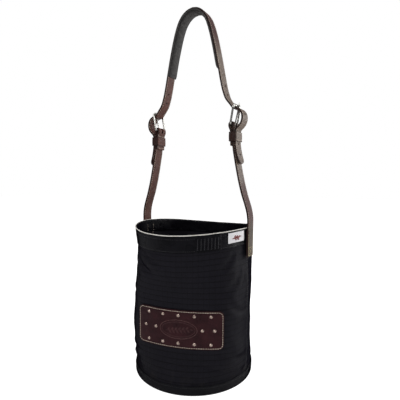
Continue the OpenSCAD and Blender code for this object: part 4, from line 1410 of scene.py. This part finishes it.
def keeper(name, side):
    z0 = low("keeper_" + name)[2]
    h = high("keeper_" + name)[2] - z0
    loop = rounded_rectangle(KEEPER_X0, KEEPER_X1, -KEEPER_Y, KEEPER_Y, 2.6, first=0,
                             arc_steps=6, line_steps=(8, 14))
    t = unit(np.roll(loop, -1, 0) - np.roll(loop, 1, 0))
    normal = np.stack([t[:, 1], -t[:, 0]], 1)
    # section of offset, height: bowed outside with two grooves, flat inside
    profile = [(0.9, 0.25), (1.0, 1.0)]
    profile += [(1.0 + 0.18 * math.sin(pi * i / 12) - (0.3 if i in (2, 10) else 0),
                 1.0 + (h - 2.0) * i / 12) for i in range(1, 12)]
    profile += [(1.0, h - 1.0), (0.9, h - 0.25), (0.4, h), (-0.4, h), (-0.92, h - 0.4)]
    profile += [(-0.95, h * (1 - i / 5)) for i in range(1, 5)]
    profile += [(-0.92, 0.4), (-0.4, 0), (0.4, 0)]
    profile, loop, normal = (np.vstack([a, a[:1]]) for a in (np.array(profile), loop, normal))
    shape = (len(loop), len(profile))
    xy = loop[:, None] + normal[:, None] * profile[None, :, :1]
    z = np.broadcast_to(z0 + profile[:, 1], shape)
    uv = np.stack(np.broadcast_arrays(lengths(loop)[:, None] * 0.001,
                                      lengths(profile)[None] * 0.001), -1)
    wear = np.clip(1 - np.minimum(profile[:, 1], h - profile[:, 1]) / 2.2, 0, 1)
    verts = np.concatenate([xy, z[..., None]], -1).reshape(-1, 3)
    ob = make("keeper_loop_" + name, mirrored(verts, side), [grid_faces(*shape)],
              uv.reshape(-1, 2), {"wear": np.broadcast_to(wear[None], shape).ravel()},
              weld=True, sharp=50)
    mark_leather(ob)
    fit(ob, LEATHER, "strap_leather", "keeper_" + name, body="strap")
    # two rows of small stitches on its outer face
    pos = [[KEEPER_X1 + 1.05, y, z0 + z] for z in (2.6, h - 2.6)
           for y in np.arange(-12, 12.1, 4.0)]
    n = (len(pos), 1)
    stitches("keeper_stitch_" + name, (mirrored(pos, side), np.tile([0, 1.0, 0], n),
                                       mirrored(np.tile([1.0, 0, 0], n), side)),
             (3.0, 0.9, 0.7), STRAP_THREAD, body="strap")


for name, side in (("left", -1), ("right", 1)):
    x = side * STRAP_X / 1000
    lower_strap(name, side, ("bag", "strap", (x, 0, (PIVOT_Z - 17) / 1000),
                             (x, 0, (PIVOT_Z + 21) / 1000)))
    tab_stitches(name, side)
    keeper(name, side)

# ---------------------------------------------------------------- upper strap, with its billets
at = lengths(upper)
upper_end = at[-1]
from_end = np.minimum(at, upper_end - at)
width = np.where(from_end < 13, np.sqrt(np.clip(
    1 - np.maximum(1 - from_end / 13.0, 0) ** 2.2, 0.07, 1)), 1.0)
ob = sweep("carry_strap_upper", upper, section, leather_shape(123), edge_wear, width,
           np.where(from_end < 1.2, 0.72, 1.0))


def near_half(x, z):
    return int(np.argmin(np.hypot(half[:, 0] - x, half[:, 1] - z)))


# round holes, by their x and z on the right half, and a long hole at the roller
HOLES = [(128.4, 600), (BILLET, 536), (BILLET + 4.8, 511), (79, 668), (85.5, 646.5)]
HOLE_R = 2.4
SLOT_X0, SLOT_X1, SLOT_R = 113.6, 121.6, 2.7
SLOT_Z = (603.0, 621.0)
half_normal, half_at = frames(half)[1:]
prisms = []
for side in (-1, 1):
    for x, z in HOLES:
        i = near_half(x, z)
        centre, axis = from_xz(half[i], 0), from_xz(half_normal[i], 0)
        angle = (np.arange(HOLE_SIDES) * 2 * pi / HOLE_SIDES)[:, None]
        ring = (np.array([0, 1.0, 0]) * HOLE_R * np.cos(angle)
                + np.cross(axis, [0, 1.0, 0]) * HOLE_R * np.sin(angle))
        prisms.append(mirrored(np.concatenate([centre + ring - axis * 4,
                                               centre + ring + axis * 4]), side))
ring = np.array(arc(SLOT_X0, 0, SLOT_R, range(90, 271, 15))
                + arc(SLOT_X1, 0, SLOT_R, range(-90, 91, 15)))
for side in (-1, 1):
    prisms.append(mirrored(np.concatenate(
        [np.column_stack([ring, np.full(len(ring), z)]) for z in SLOT_Z]), side))
faces, first = [], 0
for prism in prisms:
    k = len(prism) // 2
    faces += [tube_faces(2, k)[:, [0, 3, 2, 1]] + first, np.arange(k)[None, ::-1] + first,
              np.arange(k)[None] + k + first]
    first += 2 * k
cut(ob, make("strap_holes", np.concatenate(prisms), faces))
mark_leather(ob)
fit(ob, LEATHER, "strap_leather", "upper_strap_outer", "upper_strap_lining", body="strap")

mid = upper_end / 2
bend = half_at[near_half(ROLLER[0] - 3.5, ROLLER[1] - 4.8)]
pad_reach = half_at[near_half(70.2, 708)]
billets = ((mid + bend + 8, upper_end - 15), (15, mid - bend - 8))
spans = [(mid - bend + 4, mid + bend - 4, SEW_O),           # outer face, over the shoulder
         (mid + pad_reach + 1, mid + bend - 4, -SEW_O),
         (mid - bend + 4, mid - pad_reach - 1, -SEW_O)]
spans += [(a, b, offset) for offset in (SEW_O, -SEW_O) for a, b in billets]
rows = [row(upper, a, b, y, offset) for y in (-STITCH_Y, STITCH_Y) for a, b, offset in spans]
stitches("upper_stitch", join_rows(rows), STRAP_STITCH, STRAP_THREAD, "upper_strap_stitching",
         body="strap", sink=0.3)

# ---------------------------------------------------------------- shoulder pad
# woven cover stuffed with foam, thin along its stitched edges
PAD_W = high("pad_cover")[1]                 # half width
PAD_O = -STRAP_T / 2 - 0.12                  # its face against the strap
PAD_T = 4.9
PAD_SEAM_T = 1.55
PAD_SEW = 3.6                                # stitching in from the edges
on_pad = np.flatnonzero(upper[:, 1] > 706.5)
pad_line = upper[on_pad[0]:on_pad[-1] + 1]
pad_at = lengths(pad_line)
PAD_L = pad_at[-1]


def pad_thickness(y):
    """Beaded edge, thin seam, then the stuffed middle."""
    edge = PAD_W - np.abs(y)
    bead = 2.5 * np.sqrt(np.clip(1 - ((edge - 1.7) / 1.75) ** 2, 0, 1))
    puff = PAD_SEAM_T + (PAD_T - PAD_SEAM_T) * (1 - np.exp(-np.clip(edge - 3.4, 0, 99) / 2.6))
    return np.where(edge < 3.4, np.maximum(bead, np.where(edge > 1.7, PAD_SEAM_T, 0.35)), puff)


def pad_shape(y, offset, at):
    """Thins the pad at its ends and wrinkles it, most over the shoulder."""
    end = np.minimum(at, PAD_L - at)
    taper = 0.30 + 0.70 * np.sqrt(np.clip(1 - (1 - np.clip(end / 9.0, 0, 1)) ** 2, 0, 1))
    taper = taper - 0.35 * bell(end - PAD_SEW, 1.1)
    h = PAD_O - offset
    bent = bell(at - PAD_L / 2, 34.0)
    folds = 0.30 * vnoise(at / 15, y / 26 + 3, 131) + 0.18 * vnoise(at / 5.0, y / 14, 132)
    folds = folds + bent * 0.55 * vnoise(at / 3.6, y / 30, 133) - bent * 0.25
    h = h * taper + folds * ease(0.6, 3.0, h) * (PAD_W - np.abs(y) > 3.0)
    y = y * (1 + 0.012 * vnoise(at / 24, 0.4, 134)) * (1 - 0.035 * (1 - ease(0, 3.0, end)))
    return y, PAD_O - np.maximum(h, 0)


def pad_pin(points):
    """1 where the cover is sewn or lies on the strap, 0 where it is free."""
    distance = np.sqrt(((points[:, None, [0, 2]] - pad_line[None]) ** 2).sum(-1))
    i = distance.argmin(1)
    offset = distance[np.arange(len(points)), i]
    edge = PAD_W - np.abs(points[:, 1])
    end = np.minimum(pad_at[i], PAD_L - pad_at[i])
    return 1 - ease(4.2, 5.6, edge) * ease(3.4, 4.4, offset) * ease(4.5, 7.0, end)


def cloth_puff(ob, pin, pressure, steps, cap, shrink):
    """Cloth simulation: the cover swells and wrinkles between the lines where it is pinned.

    cap limits how far a point moves, in mm.
    """
    mesh = ob.data
    n = len(mesh.vertices)
    co = np.empty(n * 3, np.float32)
    mesh.vertices.foreach_get("co", co)
    co = co.reshape(-1, 3)
    weights = pin(co * 1000.0)
    scene = bpy.context.scene
    sim = bpy.data.objects.new("pad_cloth", mesh.copy())
    scene.collection.objects.link(sim)
    # ten times the size, where the solver is steady
    sim.data.vertices.foreach_set("co", (co * 10.0).ravel())
    group = sim.vertex_groups.new(name="pin")
    for w in np.unique(np.round(weights, 2)):
        if w > 0:
            group.add(np.nonzero(np.abs(weights - w) < 0.0051)[0].tolist(), float(w), "REPLACE")
    modifier = sim.modifiers.new("Cloth", "CLOTH")
    settings = {
        "quality": 6, "mass": 0.3, "air_damping": 2.0,
        "tension_stiffness": 30, "compression_stiffness": 30, "shear_stiffness": 12,
        "bending_stiffness": 0.6, "tension_damping": 12, "compression_damping": 12,
        "shear_damping": 12, "bending_damping": 1.0, "use_pressure": True,
        "uniform_pressure_force": pressure, "shrink_min": shrink, "vertex_group_mass": "pin"}
    for key, value in settings.items():
        setattr(modifier.settings, key, value)
    modifier.settings.effector_weights.gravity = 0
    modifier.collision_settings.use_collision = False
    modifier.point_cache.frame_start = 1
    modifier.point_cache.frame_end = steps
    scene.frame_start, scene.frame_end = 1, steps
    for i in range(1, steps + 1):
        scene.frame_set(i)
    result = sim.evaluated_get(bpy.context.evaluated_depsgraph_get())
    out = np.empty(n * 3, np.float32)
    result.data.vertices.foreach_get("co", out)
    move = (out.reshape(-1, 3) / 10.0 - co) * 1000.0
    # a simulation that breaks down leaves the cover as it was
    if not np.isfinite(move).all():
        move = np.zeros_like(move)
    size = np.linalg.norm(move, axis=1, keepdims=True)
    move = move * (cap * np.tanh(size / cap) / np.maximum(size, 1e-9))
    scene.frame_set(1)
    sim_mesh = sim.data
    bpy.data.objects.remove(sim)
    bpy.data.meshes.remove(sim_mesh)
    mesh.vertices.foreach_set("co", (co + move * 0.001).astype(np.float32).ravel())
    mesh.update()


ys = np.concatenate([np.linspace(-PAD_W, -PAD_W + 4.6, 12),
                     np.linspace(-PAD_W + 5.2, PAD_W - 5.2, 25),
                     np.linspace(PAD_W - 4.6, PAD_W, 12)])
pad_section = np.array([(y, PAD_O - pad_thickness(y)) for y in ys]
                       + [(y, PAD_O) for y in np.linspace(PAD_W - 0.3, -PAD_W + 0.3, 13)])
seam = bell(PAD_W - np.abs(pad_section[:, 0]) - PAD_SEW, 0.7) * (pad_section[:, 1] < PAD_O - 0.5)
ob = sweep("shoulder_pad", pad_line, pad_section, pad_shape, seam, sharp=60, wear_name="seam")
cloth_puff(ob, pad_pin, pressure=3.2, steps=22, cap=1.1, shrink=-0.055)
fit(ob, PAD, "pad_fabric", "pad_cover", "pad_foam", body="strap")
rows = [row(pad_line, 4, PAD_L - 4, y, PAD_O - 1.75, 4.4)
        for y in (-(PAD_W - PAD_SEW), PAD_W - PAD_SEW)]
rows += [cross_row(pad_line, q, PAD_O - 2.4, 11.5, 4.4) for q in (PAD_SEW, PAD_L - PAD_SEW)]
stitches("pad_stitch", join_rows(rows), (3.2, 0.9, 0.7), BLACK, "pad_stitching", body="strap",
         sink=0.2)

# ---------------------------------------------------------------- pieces that keep their CAD shape
kept = [(f"buckle_{part}_{side}", NICKEL) for part in ("frame", "tongue", "roller")
        for side in ("left", "right")]
kept += [("stud_backs", BRASS), ("rim_hoop", WIRE), ("base_board", BOARD)]
for node, material in kept:
    ob = frame["nodes"][node]
    ob.data.materials.clear()
    ob.data.materials.append(material)
    for material_slot in ob.material_slots:
        material_slot.material = material


# ---------------------------------------------------------------- floor, light and camera
def floor():
    mesh = bpy.data.meshes.new("floor")
    s, z = 9.0, -0.0006
    mesh.from_pydata([(-s, -s, z), (s, -s, z), (s, s, z), (-s, s, z)], [], [(0, 1, 2, 3)])
    ob = bpy.data.objects.new("floor", mesh)
    bpy.context.scene.collection.objects.link(ob)
    mat = Mat("pale_floor")
    mesh.materials.append(mat.finish((0.93, 0.93, 0.93, 1.0), rough=0.95, spec=0.0))
    # the camera sees the floor lifted towards white, so it meets the backdrop without a line
    camera_ray = mat.node("LightPath", out="Is Camera Ray")
    mat.put(mat.bsdf.inputs["Emission Color"], (1, 1, 1, 1))
    mat.put(mat.bsdf.inputs["Emission Strength"], mat.times(camera_ray, 0.80))


def studio():
    """White to the camera; dim to reflections, so metal and webbing mirror something dark."""
    world = bpy.data.worlds.new("studio")
    bpy.context.scene.world = world
    world.use_nodes = True
    nodes = Nodes(world.node_tree)
    background = world.node_tree.nodes["Background"]
    direction = nodes.node("TexCoord", out="Generated")
    ramp = nodes.node("ValToRGB", {0: nodes.node("SeparateXYZ", {0: direction}, out=2)})
    stops = ((0.0, (0.16, 0.16, 0.165, 1)), (0.9, (0.34, 0.34, 0.35, 1)))
    for stop, (position, color) in zip(ramp.node.color_ramp.elements, stops):
        stop.position = position
        stop.color = color
    camera_ray = nodes.node("LightPath", out="Is Camera Ray")
    nodes.put(background.inputs["Color"], nodes.mix(camera_ray, ramp, (1, 1, 1)))
    background.inputs["Strength"].default_value = 1.0


def area(name, location, target, size, power):
    light = bpy.data.lights.new(name, "AREA")
    light.shape = "RECTANGLE"
    light.size, light.size_y = size
    light.energy = power
    ob = bpy.data.objects.new(name, light)
    bpy.context.scene.collection.objects.link(ob)
    ob.location = location
    aim = Vector(target) - Vector(location)
    ob.rotation_euler = aim.to_track_quat("-Z", "Y").to_euler()


def camera(distance, height, azimuth, pitch, yaw, roll):
    """Camera at an azimuth round the bag, pitched down and yawed off the axis (degrees)."""
    azimuth, pitch, yaw, roll = (math.radians(a) for a in (azimuth, pitch, yaw, roll))
    data = bpy.data.cameras.new("camera")
    data.sensor_width = 36
    data.lens = 31.41
    data.clip_start = 0.05
    ob = bpy.data.objects.new("camera", data)
    bpy.context.scene.collection.objects.link(ob)

    def turned(v):
        """A direction given with the camera at -Y, turned to the azimuth."""
        c, s = math.cos(azimuth), math.sin(azimuth)
        return Vector((v[0] * c - v[1] * s, v[0] * s + v[1] * c, v[2]))

    forward = Vector((math.sin(yaw) * math.cos(pitch), math.cos(yaw) * math.cos(pitch),
                      -math.sin(pitch)))
    level = Vector((math.cos(yaw), -math.sin(yaw), 0))
    up = level.cross(forward)
    right = turned(level * math.cos(roll) + up * math.sin(roll))
    up = turned(up * math.cos(roll) - level * math.sin(roll))
    view = Matrix((right, up, -turned(forward))).transposed().to_4x4()
    view.translation = turned((0, -distance, height))
    ob.matrix_world = view
    bpy.context.scene.camera = ob


floor()
studio()
area("key", location=(0.15, -1.92, 1.7), target=(0, 0, 0.4), size=(1.1, 1.1), power=21.5)
area("side", location=(1.45, 1.75, 0.95), target=(0, 0, 0.55), size=(1.0, 2.0), power=38)
area("top", location=(0.1, 0.2, 2.3), target=(0, 0, 0.3), size=(1.5, 1.5), power=11)
camera(distance=0.852, height=0.450, azimuth=30.9, pitch=3.0, yaw=0.9, roll=0.3)
